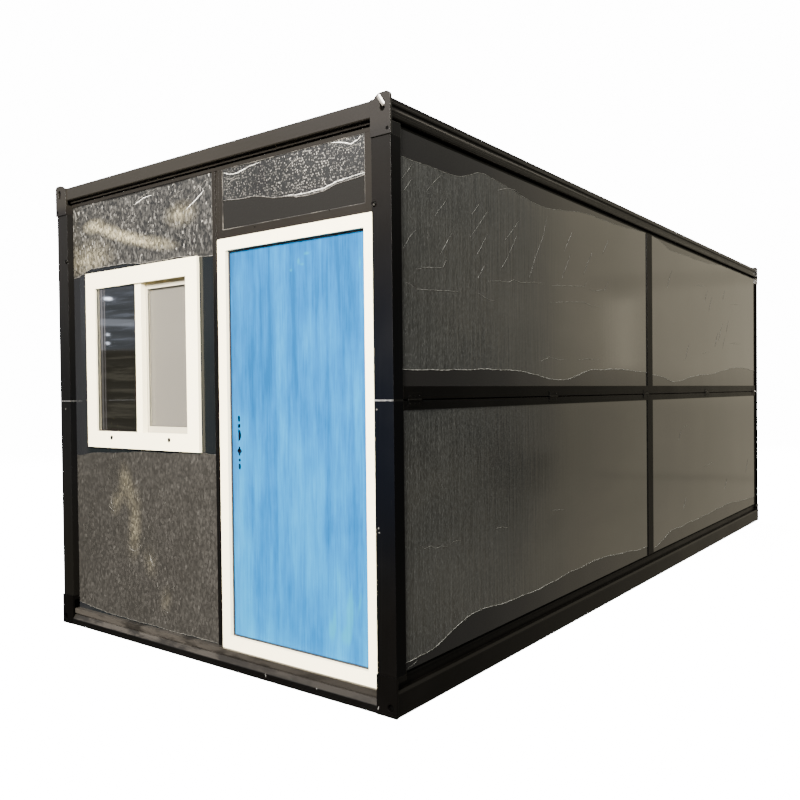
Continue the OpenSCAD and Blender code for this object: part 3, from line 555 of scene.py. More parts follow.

# %% [markdown]
# Each CAD node now gets its finish. They could be dressed one by one, but a table reads
# better: the end rails and corner plates of the roof are taupe, its long rails darker,
# the posts and the walls' rails black, and the base black, with end beams whose top is
# painted lighter, partly dust and partly painted light.

# %% Finishes on the frame
HALVES = [f"{side}_{half}_wall" for side in ("left", "right") for half in ("lower", "upper")]
FINISHES = {
    taupe_paint: "roof_corner_plates front_roof_rail back_roof_rail roof_purlins roof_sheet",
    dim_paint: "left_roof_rail right_roof_rail",
    black_paint: "front_lower_posts front_upper_posts",
    far_paint: "back_lower_posts back_upper_posts",
    bar_paint: "front_mullion front_top_rail front_transom_frame back_wall_frame",
    rail_paint: " ".join(half + "_frame" for half in HALVES) + " fold_hinges",
    base_paint: "base_corner_plates left_base_beam right_base_beam floor_joists",
    sill_paint: "front_base_beam back_base_beam",
    panel_sheet: " ".join(half + "_panels" for half in HALVES) + " front_transom_panel "
                 "front_lower_panel front_upper_panel window_side_panels back_wall_panels",
    cream_plastic: "window_frame left_sash door_frame",
    shaded_cream: "right_sash",
    packing_zinc: "fold_packing_plates",
    zinc_plate: "door_hinge_frames",
    floor_board: "floor_board",
    ceiling_sheet: "ceiling_panel",
    door_film: "door_leaf",
    window_glass: "window_glass",
}


def dress(piece, *materials):
    if piece.data.materials:
        piece.data.materials.clear()
    for material in materials:
        piece.data.materials.append(material)


for material, names in FINISHES.items():
    for name in names.split():
        dress(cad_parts[name], material)
print("dressed", sum(len(names.split()) for names in FINISHES.values()), "nodes")

# %% [markdown]
# The panels are still in the clear film that they were rolled with. It has gone milky,
# shows the embossed grain of the sheet under it, and has shrunk back from some edges in
# long waves. A clear shader would show too little of this, so the film is opaque: the
# dark of the panel below is its ground colour. On the end walls the grain is small
# cells, each as bright as a throw of dice makes it: the milky grain, with painted glints
# of the embossing on it. Warm lamps gleam in soft spots, painted highlights in the
# colour. Over the door it is a mesh of round dots, painted bright as glints.

# %% Film of the end walls
def lucky(w, cells, scale, power):
    """Every small cell gets its own brightness, and few get a high one."""
    dice = w.node("ShaderNodeTexVoronoi", inputs={"Vector": cells, "Scale": scale}, out=1)
    return w.maths("POWER", w.node("ShaderNodeRGBToBW", inputs={0: dice}), power)


def beads(w, cells, scale):
    """A round dot in each small cell, close to a regular pattern."""
    near = w.node("ShaderNodeTexVoronoi",
                  inputs={"Vector": cells, "Scale": scale, "Randomness": 0.7})
    return 1.0 - ease(w, near, 0.05, 0.44)


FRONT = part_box("front_upper_panel")[0].y
GLEAMS = [(-0.93, 2.262, 0.13, 0.050, 0, 0.55), (-0.77, 2.215, 0.20, 0.048, 18, 0.55),
          (-0.58, 2.155, 0.22, 0.046, 14, 0.65), (-0.36, 2.105, 0.24, 0.048, 11, 0.55),
          (-0.15, 2.225, 0.17, 0.085, 0, 0.5), (-0.98, 2.080, 0.30, 0.120, 0, 0.38),
          (-0.90, 2.200, 0.60, 0.300, 0, 0.12), (-0.66, 0.840, 0.09, 0.150, -8, 0.30),
          (-0.75, 0.730, 0.08, 0.110, 30, 0.24), (-0.58, 0.700, 0.09, 0.180, 0, 0.24),
          (-0.59, 0.540, 0.09, 0.160, 8, 0.22), (-0.45, 0.430, 0.09, 0.120, -20, 0.18),
          (-0.32, 0.250, 0.07, 0.110, 20, 0.18)]


def front_film(w):
    gleam = blots(w, FRONT, GLEAMS)
    patch = cloud(w, 3.2, 5.0, 0.65)
    cells = stretched(w, (1, 1, 0.60))
    # crumbs, sparks and dots: the milky grain with painted glints of the embossing.
    crumbs = lucky(w, cells, 112.0, 2.2)
    sparks = lucky(w, cells, 96.0, 9.0)
    dots = beads(w, stretched(w, (1, 1, 0.9)), 96.0) * (0.15 + lucky(w, cells, 60.0, 1.8))
    high = past(w, "Z", 1.2, 2.2)
    front = w.maths("LESS_THAN", axis(w, "Y"), 0.0)
    door_side = front * past(w, "X", 0.10, 0.16)
    # haze: the soft spots of painted lamp gleam.
    haze = ease(w, gleam, 0.0, 1.0)
    swell = ease(w, patch, 0.30, 0.70)
    ground = mix(w, haze * 0.9, mix(w, high, (0.0105, 0.0098, 0.0086),
                                    (0.0048, 0.0047, 0.0043)), (0.070, 0.061, 0.038))
    light = mix(w, high, (0.0300, 0.0280, 0.0250), (0.044, 0.042, 0.038))
    grained = mix(w, crumbs * (0.6 + 0.5 * swell) * (1.0 - 0.92 * door_side), ground,
                  mix(w, haze, light, (0.560, 0.490, 0.310)))
    sparkle = (sparks * (0.08 + 0.50 * high * front) * (1.0 - door_side)
               + dots * door_side * (0.26 + 0.62 * swell))
    return {"Base Color": mix(w, sparkle, grained, (0.42, 0.40, 0.36)),
            "Roughness": 0.22 + 0.14 * patch,
            "Normal": bump(w, crumbs * 0.3 + patch * 2.0, 0.4, 0.003)}


milky_film = finish("milky_film", front_film, gloss=0.45)

# %% [markdown]
# Along the long walls the same film lies flatter and mirrors the hall. Its grain is
# drawn out into upright ripples, painted lighter near the front corner as painted
# highlights where light grazes them: a wave texture gives the threads, and noise breaks
# them into dashes.

# %% Film of the long walls
def side_film(w):
    from_corner = w.maths("ABSOLUTE", axis(w, "Y") - cad_low.y)
    near_corner = 1.0 - ease(w, from_corner, 0.30, 1.7)
    threads = waves(w, "Y", place(w), 29.0, Distortion=5.0, Detail=2.0, Detail_Scale=3.0)
    ripple = cloud(w, 2.4, 3.0, 0.7, pull=(1, 22, 1.0))
    dashes = cloud(w, 120.0, 2.0, 0.6, pull=(1, 1, 0.40))
    patch = cloud(w, 0.9, 5.0, 0.55, pull=(1, 0.6, 1.4))
    ribs = (ease(w, ripple, 0.30, 0.70) * 0.3
            + threads * (0.25 + 0.75 * ease(w, dashes, 0.36, 0.66)))
    ground = mix(w, ease(w, patch, 0.35, 0.75), (0.0022, 0.0024, 0.0022),
                 (0.0110, 0.0102, 0.0082))
    # Painted highlights: the ripples are painted lighter near the front corner.
    light = ribs * (0.03 + 0.57 * near_corner)
    return {"Base Color": mix(w, light, ground, (0.034, 0.035, 0.033)),
            "Roughness": 0.06 + 0.05 * patch + 0.04 * near_corner,
            "Normal": bump(w, ripple + dashes * 0.2 * near_corner,
                           0.05 + 0.40 * near_corner, 0.002)}


ripple_film = finish("ripple_film", side_film, gloss=0.55)

# %% [markdown]
# Film turns white where it is creased or rolled back, and the sharper the fold, the
# whiter. Here the white is partly painted highlight: the creases high on the walls are
# far brighter, and the foot hems of the long walls are painted bright where their rims
# catch the light. Folds, rolls and hems get finishes of their own, all from one function:
# a dull and a bright tone in fine patches, and another pair for what lies above the window.

# %% Creases and hems
def crease_finish(name, dull, bright, high_dull, high_bright, gloss=0.3):
    """Whitened film, partly painted highlight: dull and bright tones low down, and others high up.
    """
    def vary(w):
        white = ease(w, cloud(w, 55.0, 4.0), 0.35, 0.65)
        high = past(w, "Z", 1.2, 2.2)
        return {"Base Color": mix(w, high, mix(w, white, dull, bright),
                                  mix(w, white, high_dull, high_bright)),
                "Roughness": 0.25 + 0.2 * white,
                "Normal": bump(w, white, 0.4, 0.001)}
    return finish(name, vary, gloss)


white_crease = crease_finish("white_crease", (0.040, 0.038, 0.033), (0.085, 0.080, 0.070),
                      (0.24, 0.23, 0.21), (0.60, 0.59, 0.55), 0.5)
dull_crease = crease_finish("dull_crease", (0.026, 0.025, 0.022), (0.070, 0.066, 0.058),
                     (0.040, 0.038, 0.034), (0.110, 0.105, 0.095))
pale_crease = crease_finish("pale_crease", (0.014, 0.014, 0.013), (0.046, 0.046, 0.043),
                     (0.014, 0.014, 0.013), (0.050, 0.050, 0.047))
# The foot hems of the long walls: a painted highlight where their rims catch the light.
bright_hem = crease_finish("bright_hem", (0.030, 0.030, 0.027), (0.120, 0.120, 0.112),
                    (0.026, 0.026, 0.024), (0.110, 0.110, 0.102))

# %% [markdown]
# Films, seals and screws all end the same way: a bmesh becomes a mesh, the mesh an
# object, and the object gets its finish and the body that it rides.

# %% A piece of the scene
def shape(name, bm, *materials):
    """Turns a bmesh into an object and frees it."""
    mesh = bpy.data.meshes.new(name)
    bm.to_mesh(mesh)
    bm.free()
    made = new_object(name, mesh)
    dress(made, *materials)
    return made


def add_piece(name, bm, slot, *materials):
    """A piece that rides the house."""
    piece = shape(name, bm, *materials)
    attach(piece, "house")
    return piece


# %% [markdown]
# The edge of a film wanders as it was cut and has shrunk. Such a line could be drawn
# point by point, but a few points measured along it are enough: a smooth curve joins
# them and a little noise makes it stray. One function puts a flat point on any wall.

# %% Lines on a wall
def on_wall(side, surface):
    """A function that puts (along, height, out) on a wall: 'x+', 'x-', 'y-' or 'y+'."""
    sign = 1 if side[1] == "+" else -1
    if side[0] == "x":
        return lambda along, height, out: Vector((surface + sign * out, along, height))
    return lambda along, height, out: Vector((along, surface + sign * out, height))


def along_points(points, x):
    """The height at x of a smooth line through a few (x, height) points."""
    if x <= points[0][0]:
        return points[0][1]
    for (x0, h0), (x1, h1) in zip(points, points[1:]):
        if x <= x1:
            t = (x - x0) / (x1 - x0)
            return h0 + (h1 - h0) * (3 - 2 * t) * t * t
    return points[-1][1]


def wander(x, z, seed, size):
    return size * noise.noise(Vector((x * 34, z * 34, seed)))


# %% [markdown]
# A crease stands up from the film as a low tent. It is a grid three points wide, bent
# along its path, with the middle row lifted and both ends drawn to a point. A rolled
# edge or a hem is the same tent, wider or with blunt ends.

# %% Creases as low tents
STEP, STRAY = 14 * MM, 3 * MM
FLAT, FIRST, SECOND = range(3)


def walk(path, seed):
    """Evenly spaced points along a broken line, straying a little to each side."""
    corners = [Vector(corner) for corner in path]
    spots = []
    for a, b in zip(corners, corners[1:]):
        count = max(1, round((b - a).length / STEP))
        spots += [a.lerp(b, n / count) for n in range(count)]
    spots.append(corners[-1])
    return [p + Vector((wander(p.x, p.y, seed, STRAY), wander(p.y, p.x, seed, STRAY)))
            for p in spots]


def tent(bm, at, path, wide, tall, seed, fade=True, tone=FIRST):
    """A low ridge of film along a path of (along, height) points."""
    spots = walk(path, seed)
    last = len(spots) - 1
    made = bmesh.ops.create_grid(bm, x_segments=last, y_segments=2, size=0.5)["verts"]
    for vert in made:
        n, v = round((vert.co.x + 0.5) * last), vert.co.y * 2
        run = (spots[min(n + 1, last)] - spots[max(n - 1, 0)]).normalized()
        ends = math.sin(math.pi * (n + 0.4) / (last + 0.8)) ** 0.5 if fade else 1.0
        rough = 0.65 + 0.7 * abs(noise.noise(Vector((n * 0.9, seed, 1.0))))
        spot = spots[n] + Vector((-run.y, run.x)) * v * wide / 2 * ends * rough
        vert.co = at(spot.x, spot.y, 1.0 * MM + (tall * ends * rough if v == 0 else 0))
    for face in {face for vert in made for face in vert.link_faces}:
        face.material_index = tone


# %% [markdown]
# A film is one bmesh: a grid pulled to its wavy outline and slack in the middle, with
# tents along its creases and a hem along each loose edge. It could be cut from a plane
# with a knife tool, but a grid whose rows follow both edges has no slivers. A Solidify
# modifier then gives the whole film its gauge.

# %% Film maker
WALLS = {"x": {"finishes": (ripple_film, pale_crease, bright_hem), "fold": FIRST, "top": FIRST},
         "y": {"finishes": (milky_film, white_crease, dull_crease), "fold": SECOND, "top": FLAT}}
ROLL_WIDE, ROLL_TALL, HEM_STEP, TOP_HEM = 9 * MM, 2.5 * MM, 20 * MM, 3 * MM
LIFT, SLACK, GAUGE = 0.7 * MM, 0.5 * MM, 0.4 * MM


def film(name, side, surface, low, high, seed, tops=None, foots=None, folds=(),
         rolls=(), cell=22 * MM, crease=4 * MM):
    """A film from low to high, both (along, height), on an upright wall."""
    at, wall = on_wall(side, surface), WALLS[side[0]]
    wide, tall = high[0] - low[0], high[1] - low[1]
    bm = bmesh.new()
    bmesh.ops.create_grid(bm, x_segments=max(8, round(wide / cell)),
                          y_segments=max(6, round(tall / cell)), size=0.5)

    def edge(points, level, along):
        return along_points(points, along) + wander(along / 6, 0, seed, 6 * MM) if points else level

    for vert in bm.verts:
        along = low[0] + (vert.co.x + 0.5) * wide
        foot, top = edge(foots, low[1], along), edge(tops, high[1], along)
        height = foot + (vert.co.y + 0.5) * (top - foot)
        slack = noise.noise(Vector((along * 3, height * 2, seed)))
        vert.co = at(along, height, LIFT + SLACK * slack)
    for line in (line for line in bm.edges if line.is_boundary):
        line.smooth = False
    for path in folds:
        tent(bm, at, path, crease, crease / 3, seed, tone=wall["fold"])
    for path in rolls:
        tent(bm, at, path, ROLL_WIDE, ROLL_TALL, seed)
    for points, hem, tone in ((tops, TOP_HEM, wall["top"]), (foots, crease, SECOND)):
        if points:
            count = round(wide / HEM_STEP)
            line = [low[0] + n / count * wide for n in range(count + 1)]
            tent(bm, at, [(x, edge(points, 0, x)) for x in line], hem, hem / 4, seed,
                 fade=False, tone=tone)
    film_piece(name, bm, side)


def film_piece(name, bm, side):
    """The mesh as a piece that rides the house, faces outward, with its gauge."""
    outward = on_wall(side, 0)(0, 0, 1)
    bmesh.ops.recalc_face_normals(bm, faces=bm.faces)
    for face in bm.faces:
        face.smooth = True
        if face.normal.dot(outward) < 0:
            face.normal_flip()
    piece = add_piece(name, bm, "wall_panel", *WALLS[side[0]]["finishes"])
    gauge = piece.modifiers.new("gauge", "SOLIDIFY")
    gauge.thickness, gauge.offset = GAUGE, -1.0


# %% [markdown]
# The long walls have two bays in each half. The wavy edges are given from the front
# corner, in metres, as the film on the real house lies. Creases run up and to the right
# where the film was pulled, and level where the folded sheet pressed on it.

# %% Edges and creases of the long walls
NEAR = cad_low.y
upper_low, upper_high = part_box("right_upper_wall_panels")
lower_low, lower_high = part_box("right_lower_wall_panels")
MULLION = (2.809 + NEAR, 2.901 + NEAR)


def from_front(points):
    return [(NEAR + y, z) for y, z in points]


UPPER_NEAR_TOP = [(0.05, 2.280), (0.46, 2.282), (0.72, 2.341), (1.27, 2.296),
                  (1.90, 2.358), (2.25, 2.364), (2.79, 2.392)]
UPPER_NEAR_FOOT = [(0.07, 1.412), (0.95, 1.422), (1.50, 1.376), (1.96, 1.440),
                   (2.34, 1.451), (2.82, 1.436)]
UPPER_FAR_TOP = [(2.95, 2.390), (3.30, 2.344), (4.00, 2.354), (4.70, 2.392)]
UPPER_FAR_FOOT = [(2.95, 1.419), (3.38, 1.375), (4.0, 1.430), (5.19, 1.513), (5.75, 1.489)]
LOWER_NEAR_FOOT = [(0.08, 0.205), (0.21, 0.207), (0.60, 0.292), (1.08, 0.269),
                   (1.90, 0.292), (2.85, 0.232)]
LOWER_FAR_FOOT = [(2.93, 0.204), (3.31, 0.270), (3.97, 0.273), (4.68, 0.288), (5.73, 0.247)]
PULLED = [
    [(0.07, 2.169), (0.158, 2.261)], [(0.081, 2.122), (0.157, 2.201)],
    [(0.253, 2.167), (0.31, 2.218), (0.362, 2.261)], [(0.314, 2.075), (0.406, 2.163)],
    [(0.088, 1.903), (0.129, 1.951), (0.177, 1.994)], [(0.598, 2.03), (0.672, 2.101),
     (0.75, 2.176)], [(0.607, 2.134), (0.674, 2.194)], [(0.655, 1.959), (0.748, 2.069)],
    [(0.873, 1.921), (0.931, 1.979)], [(0.908, 2.06), (1.046, 2.177)],
    [(0.923, 1.974), (0.975, 2.036), (1.028, 2.104)], [(1.149, 1.901), (1.216, 2.016),
     (1.304, 2.138), (1.355, 2.256)], [(1.523, 1.942), (1.578, 2.016), (1.634, 2.091)],
    [(1.558, 2.1), (1.658, 2.221)], [(1.802, 1.993), (1.862, 2.071), (1.924, 2.14)],
    [(2.074, 2.15), (2.166, 2.248)], [(0.653, 1.846), (0.714, 1.91)],
    [(0.356, 1.918), (0.444, 2.022)]]
PRESSED = [
    [(0.18, 1.833), (0.259, 1.847), (0.374, 1.861), (0.401, 1.902)],
    [(0.103, 1.771), (0.185, 1.748), (0.27, 1.753), (0.412, 1.763), (0.522, 1.769)],
    [(0.652, 1.778), (0.742, 1.754), (0.813, 1.752)],
    [(0.744, 1.84), (0.847, 1.855), (0.938, 1.856), (0.989, 1.875), (1.058, 1.869),
     (1.204, 1.885), (1.319, 1.888)],
    [(1.378, 1.889), (1.501, 1.897), (1.63, 1.91), (1.812, 1.924), (1.848, 1.958)],
    [(1.884, 1.916), (1.957, 1.913), (2.096, 1.932), (2.162, 1.991)],
    [(1.377, 1.793), (1.585, 1.816), (1.799, 1.832), (1.906, 1.821), (2.055, 1.825)],
    [(1.273, 1.477), (1.362, 1.498), (1.474, 1.487), (1.58, 1.494)],
    [(1.713, 1.493), (1.853, 1.502), (2.025, 1.501)],
    [(0.831, 2.29), (0.946, 2.321), (1.014, 2.326), (1.084, 2.314)]]
LOW_PRESSED = [
    [(0.19, 0.669), (0.215, 0.654), (0.26, 0.658), (0.299, 0.64), (0.346, 0.643),
     (0.387, 0.633)], [(0.422, 0.647), (0.457, 0.649), (0.493, 0.643)],
    [(0.795, 0.655), (0.854, 0.651), (0.914, 0.64)], [(1.383, 0.666), (1.533, 0.651)],
    [(0.085, 0.180), (0.125, 0.186), (0.160, 0.196)], [(0.078, 0.33), (0.082, 0.60)]]
print("creases on the near bays:", len(PULLED + PRESSED + LOW_PRESSED))

# %% [markdown]
# The far bays, the left wall and the back are seen less closely, so their creases are
# made up. A random generator with a fixed seed throws the same ones at every run: two
# in three climb steeply, and the third lies almost level.

# %% Films of the long walls
def stray_folds(seed, low, high, count):
    """A few made-up creases inside a box of (along, height)."""
    dice = random.Random(seed)
    folds = []
    for n in range(count):
        x, z = dice.uniform(low[0] + 0.1, high[0] - 0.35), dice.uniform(low[1] + 0.2, high[1] - 0.2)
        steep = n % 3 > 0
        length = dice.uniform(0.08, 0.2)
        end = (x + 0.6 * length, z + 0.8 * length) if steep else (x + 1.6 * length, z + 0.02)
        folds.append([(x, z), (x + 0.4 * (end[0] - x), z + 0.5 * (end[1] - z)), end])
    return folds


TUCK = 2 * MM
UPPER, LOWER = (upper_low.z, upper_high.z), (lower_low.z, lower_high.z)
BAYS = [("upper_near", (upper_low.y, MULLION[0]), UPPER, UPPER_NEAR_TOP, UPPER_NEAR_FOOT,
         PULLED + PRESSED),
        ("upper_far", (MULLION[1], upper_high.y), UPPER, UPPER_FAR_TOP, UPPER_FAR_FOOT, None),
        ("lower_near", (lower_low.y, MULLION[0]), LOWER, None, LOWER_NEAR_FOOT, LOW_PRESSED),
        ("lower_far", (MULLION[1], lower_high.y), LOWER, None, LOWER_FAR_FOOT, None)]
for count, (bay, run, rise, tops, foots, folds) in enumerate(BAYS):
    low, high = (run[0] + TUCK, rise[0] + TUCK), (run[1] - TUCK, rise[1] - TUCK)
    tops, foots = (from_front(edge) if edge else None for edge in (tops, foots))
    near_folds = [from_front(path) for path in folds] if folds else stray_folds(
        5 + count, low, high, 14 if tops else 6)
    film(f"right_{bay}_film", "x+", upper_high.x, low, high, 3.1 + count, tops, foots,
         near_folds)
    film(f"left_{bay}_film", "x-", -upper_high.x, low, high, 13.1 + count, tops, foots,
         stray_folds(15 + count, low, high, 16 if tops else 7))
print("films on the long walls:", 2 * len(BAYS))

# %% [markdown]
# The front wall has three films, each a hair smaller than its panel: over the window,
# under it, and over the door, where the film was rolled back and hangs in a bright roll
# with its foot uneven. The edges were measured, as on the long walls. The back wall gets
# two plain ones.

# %% Films of the end walls
def outline(node, grow):
    """The low and high (x, z) corners of a node, moved outwards by grow."""
    low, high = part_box(node)
    return (low.x - grow, low.z - grow), (high.x + grow, high.z + grow)


film("front_upper_film", "y-", FRONT, *outline("front_upper_panel", -TUCK), 21.0,
     tops=[(-1.13, 2.399), (-0.90, 2.391), (-0.62, 2.380), (-0.40, 2.388), (-0.19, 2.384),
           (0.09, 2.397)],
     foots=[(-1.114, 1.990), (-0.945, 2.027), (-0.726, 2.027), (-0.410, 2.010),
            (-0.200, 2.012), (0.073, 1.992)],
     rolls=[[(-0.547, 2.327), (-0.457, 2.349), (-0.388, 2.357)],
            [(-0.113, 2.237), (-0.042, 2.271), (0.037, 2.314)]],
     folds=[[(-0.530, 2.345), (-0.440, 2.370), (-0.350, 2.382)],
            [(-0.119, 2.285), (-0.01, 2.331), (0.080, 2.377)],
            [(-0.250, 2.300), (-0.190, 2.330), (-0.120, 2.345)],
            [(-1.051, 2.375), (-0.878, 2.383)], [(-1.10, 2.02), (-1.06, 2.045), (-0.98, 2.05)]],
     crease=5 * MM)
film("front_lower_film", "y-", FRONT, *outline("front_lower_panel", -TUCK), 22.0,
     tops=[(-1.13, 0.975), (-0.90, 0.997), (-0.44, 1.014), (0.0, 1.026), (0.096, 1.021)],
     foots=[(-1.13, 0.128), (-0.97, 0.112), (-0.80, 0.102), (-0.45, 0.098), (0.09, 0.097)],
     folds=[[(-0.828, 0.713), (-0.81, 0.697), (-0.777, 0.678)],
            [(-0.645, 0.51), (-0.625, 0.487), (-0.576, 0.475)],
            [(-0.482, 0.429), (-0.441, 0.446), (-0.387, 0.48)],
            [(-0.453, 0.481), (-0.441, 0.446), (-0.422, 0.411)],
            [(-0.790, 0.770), (-0.800, 0.730), (-0.785, 0.700), (-0.760, 0.700)],
            [(-0.644, 0.507), (-0.620, 0.480), (-0.580, 0.475), (-0.545, 0.495),
             (-0.536, 0.518)],
            [(-0.395, 0.333), (-0.380, 0.300)],
            [(-0.361, 0.242), (-0.327, 0.279)], [(-0.336, 0.194), (-0.304, 0.187)],
            [(-0.275, 0.31), (-0.236, 0.339)]], crease=4 * MM)
film("transom_film", "y-", FRONT, *outline("front_transom_panel", -TUCK), 23.0,
     tops=[(0.17, 2.398), (0.40, 2.386), (0.75, 2.392), (1.07, 2.399)],
     foots=[(0.17, 2.245), (0.35, 2.234), (0.574, 2.203), (0.715, 2.185), (0.837, 2.191),
            (0.929, 2.210), (1.005, 2.216), (1.073, 2.221)],
     folds=[[(0.185, 2.352), (0.230, 2.338), (0.290, 2.346)],
            [(0.900, 2.368), (0.970, 2.346), (1.050, 2.356)],
            [(0.590, 2.309), (0.641, 2.345), (0.718, 2.356)],
            [(0.190, 2.300), (0.240, 2.330), (0.300, 2.335)]],
     rolls=[[(0.60, 2.203), (0.715, 2.195), (0.837, 2.201), (0.929, 2.219), (1.066, 2.230)],
            [(0.180, 2.376), (0.225, 2.362), (0.275, 2.357), (0.355, 2.374), (0.430, 2.382)],
            [(0.874, 2.386), (0.932, 2.380), (0.995, 2.361), (1.032, 2.372), (1.050, 2.386)]],
     cell=14 * MM, crease=5 * MM)
back_low, back_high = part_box("back_wall_panels")
BAR = 25 * MM
for count, (name, x0, x1) in enumerate((("back_left_film", back_low.x, -BAR),
                                        ("back_right_film", BAR, back_high.x))):
    low, high = (x0 + TUCK, back_low.z + TUCK), (x1 - TUCK, back_high.z - TUCK)
    film(name, "y+", back_high.y, low, high, 31.0 + count,
         tops=[(x0 + 0.1, 2.30 + 0.03 * count), (x0 + 0.5, 2.35), (x1 - 0.2, 2.31)],
         foots=[(x0 + 0.1, 0.16), (x0 + 0.4, 0.21), (x1 - 0.3, 0.17 + 0.03 * count)],
         folds=stray_folds(40 + count, low, high, 14))
print("films on the end walls: 5")

# %% [markdown]
# A ring of even width seals each opening: rubber round the panes, the window and the
# door leaf, and a thin smeared bead of sealant round the panel over the door. The black
# rings round the window and the door leaf are also painted shadow lines, dark where the
# gaps lie in shade. A ring could be a frame of four bars, but then its mitres would have
# to meet. So it starts as one face: inset splits off its middle, which is deleted, and
# extruding what is left gives the depth.

# %% Seals
def extrude(bm, faces, by):
    """Grows faces by a vector, and gives back all that was made, and its points."""
    grown = bmesh.ops.extrude_face_region(bm, geom=faces)["geom"]
    verts = [part for part in grown if isinstance(part, bmesh.types.BMVert)]
    bmesh.ops.translate(bm, vec=by, verts=verts)
    return grown, verts


def ring(bm, low, high, wide, front, back):
    """A frame in the (x, z) plane from front to back, wide in its members."""
    corners = [bm.verts.new((x, front, z)) for x, z in
               ((low[0], low[1]), (high[0], low[1]), (high[0], high[1]), (low[0], high[1]))]
    face = bm.faces.new(corners)
    face.normal_update()
    bmesh.ops.inset_region(bm, faces=[face], thickness=wide, use_boundary=True,
                           use_even_offset=True)
    bmesh.ops.delete(bm, geom=[face], context="FACES")
    rim = [f for f in bm.faces if all(abs(v.co.y - front) < 1e-6 for v in f.verts)]
    extrude(bm, rim, (0, back - front, 0))
    bmesh.ops.recalc_face_normals(bm, faces=bm.faces)


frame_low, frame_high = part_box("window_frame")
left_low, left_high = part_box("left_sash")
right_low, right_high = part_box("right_sash")
CASING = 90 * MM
MEET = (left_high.x - 52 * MM, left_high.x)
left_pane = ((frame_low.x + CASING, frame_low.z + CASING), (MEET[0], frame_high.z - CASING))
right_pane = ((MEET[1] + 10 * MM, right_low.z + 67 * MM),
              (right_high.x - 46 * MM, right_high.z - 67 * MM))
leaf_edge = ((0.202, 0.153), (1.080, 2.002))
LEFT_GLASS, RIGHT_GLASS = left_low.y + 2 * MM, right_low.y + 6 * MM
# name: finish, slot, corners, width, the face it stands on, its front and back before it
SEALS = {
    "left_pane_gasket": (black_rubber, "window_glass", left_pane, 3 * MM,
                         LEFT_GLASS, 1.6 * MM, 0),
    "right_pane_gasket": (black_rubber, "window_glass", right_pane, 2.5 * MM,
                          RIGHT_GLASS, 1.2 * MM, 0),
    # Black as a painted shadow line round the window frame.
    "window_sealant": (black_rubber, "cream_frame", outline("window_frame", 3 * MM), 3 * MM,
                       FRONT, 2.5 * MM, 0),
    # A seal, and also a painted shadow line round the door leaf.
    "door_seal": (black_rubber, "cream_frame", leaf_edge, 9 * MM,
                  LEAF_FACE, 5.5 * MM, 0.6 * MM),
    "transom_bead": (aged_sealant, "frame_steel", outline("front_transom_panel", 0.0), 2.5 * MM,
                     FRONT, 3 * MM, 0),
}
for name, (material, slot, (low, high), wide, face, before, after) in SEALS.items():
    bm = bmesh.new()
    ring(bm, low, high, wide, face - before, face - after)
    add_piece(name, bm, slot, material)
print("seals:", len(SEALS))

# %% [markdown]
# Behind the right pane stands a fly screen, and behind the left one a pale ring is a
# painted reflection: it stands for the white casing, mirrored as a pale upright band.
# The cloth could be a flat box, but cloth in a frame bellies a little, so it starts as a
# grid that is bent and then extruded. The band is a ring again.

# %% Fly screen
def cloth(bm, low, high, y, thick, belly):
    """A thin sheet between two (x, z) corners that bellies inwards."""
    made = bmesh.ops.create_grid(bm, x_segments=16, y_segments=24, size=0.5)["verts"]
    for vert in made:
        u, v = vert.co.x + 0.5, vert.co.y + 0.5
        vert.co = (low[0] + u * (high[0] - low[0]),
                   y + belly * math.sin(math.pi * u) * math.sin(math.pi * v),
                   low[1] + v * (high[1] - low[1]))
    extrude(bm, list(bm.faces), (0, thick, 0))
    bmesh.ops.recalc_face_normals(bm, faces=bm.faces)


REFLECTION_BAND_RIGHT = -0.824
bm = bmesh.new()
cloth(bm, (right_pane[0][0] - 6 * MM, right_pane[0][1] - 6 * MM),
      (right_pane[1][0] + 6 * MM, right_pane[1][1] + 6 * MM),
      right_high.y + 3 * MM, 0.6 * MM, 1.5 * MM)
add_piece("fly_screen", bm, "cream_frame", fly_screen)
# A pale ring behind the left pane: a painted reflection of the white casing.
bm = bmesh.new()
ring(bm, (left_pane[0][0] - 20 * MM, left_pane[0][1] - 30 * MM),
     (REFLECTION_BAND_RIGHT, left_pane[1][1] + 30 * MM), 12 * MM, LEFT_GLASS + 7 * MM, LEFT_GLASS + 14 * MM)
add_piece("screen_stile", bm, "cream_frame", cream_plastic)
print("fly screen and stile")

# %% [markdown]
# Small fasteners hold the hinges, the corner plates and the roof sheet. A head is a disc,
# extruded and drawn in at its top; then its middle is inset twice and pushed down for
# the driver's recess. It could be a bevelled cylinder, but this way it has few faces
# and keeps its recess. One function makes it at a point, facing any way.

# %% A screw head
def head(bm, at, facing, radius, tall, sides=12):
    """A round head on a surface at a point, looking along facing."""
    disc = bmesh.ops.create_circle(bm, cap_ends=True, radius=radius, segments=sides)["verts"]
    face = disc[0].link_faces[0]
    grown, lifted = extrude(bm, [face], (0, 0, tall))
    crown = next(part for part in grown if isinstance(part, bmesh.types.BMFace))
    bmesh.ops.scale(bm, vec=(0.8, 0.8, 1), verts=lifted)
    crown.normal_update()
    bmesh.ops.inset_region(bm, faces=[crown], thickness=radius * 0.35)
    bmesh.ops.inset_region(bm, faces=[crown], thickness=radius * 0.06)
    bmesh.ops.translate(bm, vec=(0, 0, -tall * 0.5), verts=list(crown.verts))
    made, queue = set(disc), list(disc)
    while queue:
        for edge in queue.pop().link_edges:
            for vert in edge.verts:
                if vert not in made:
                    made.add(vert)
                    queue.append(vert)
    turn = Vector(facing).to_track_quat("Z", "Y").to_matrix().to_4x4()
    bmesh.ops.transform(bm, matrix=Matrix.Translation(at) @ turn, verts=list(made))
    bmesh.ops.recalc_face_normals(bm, faces=list({f for v in made for f in v.link_faces}))


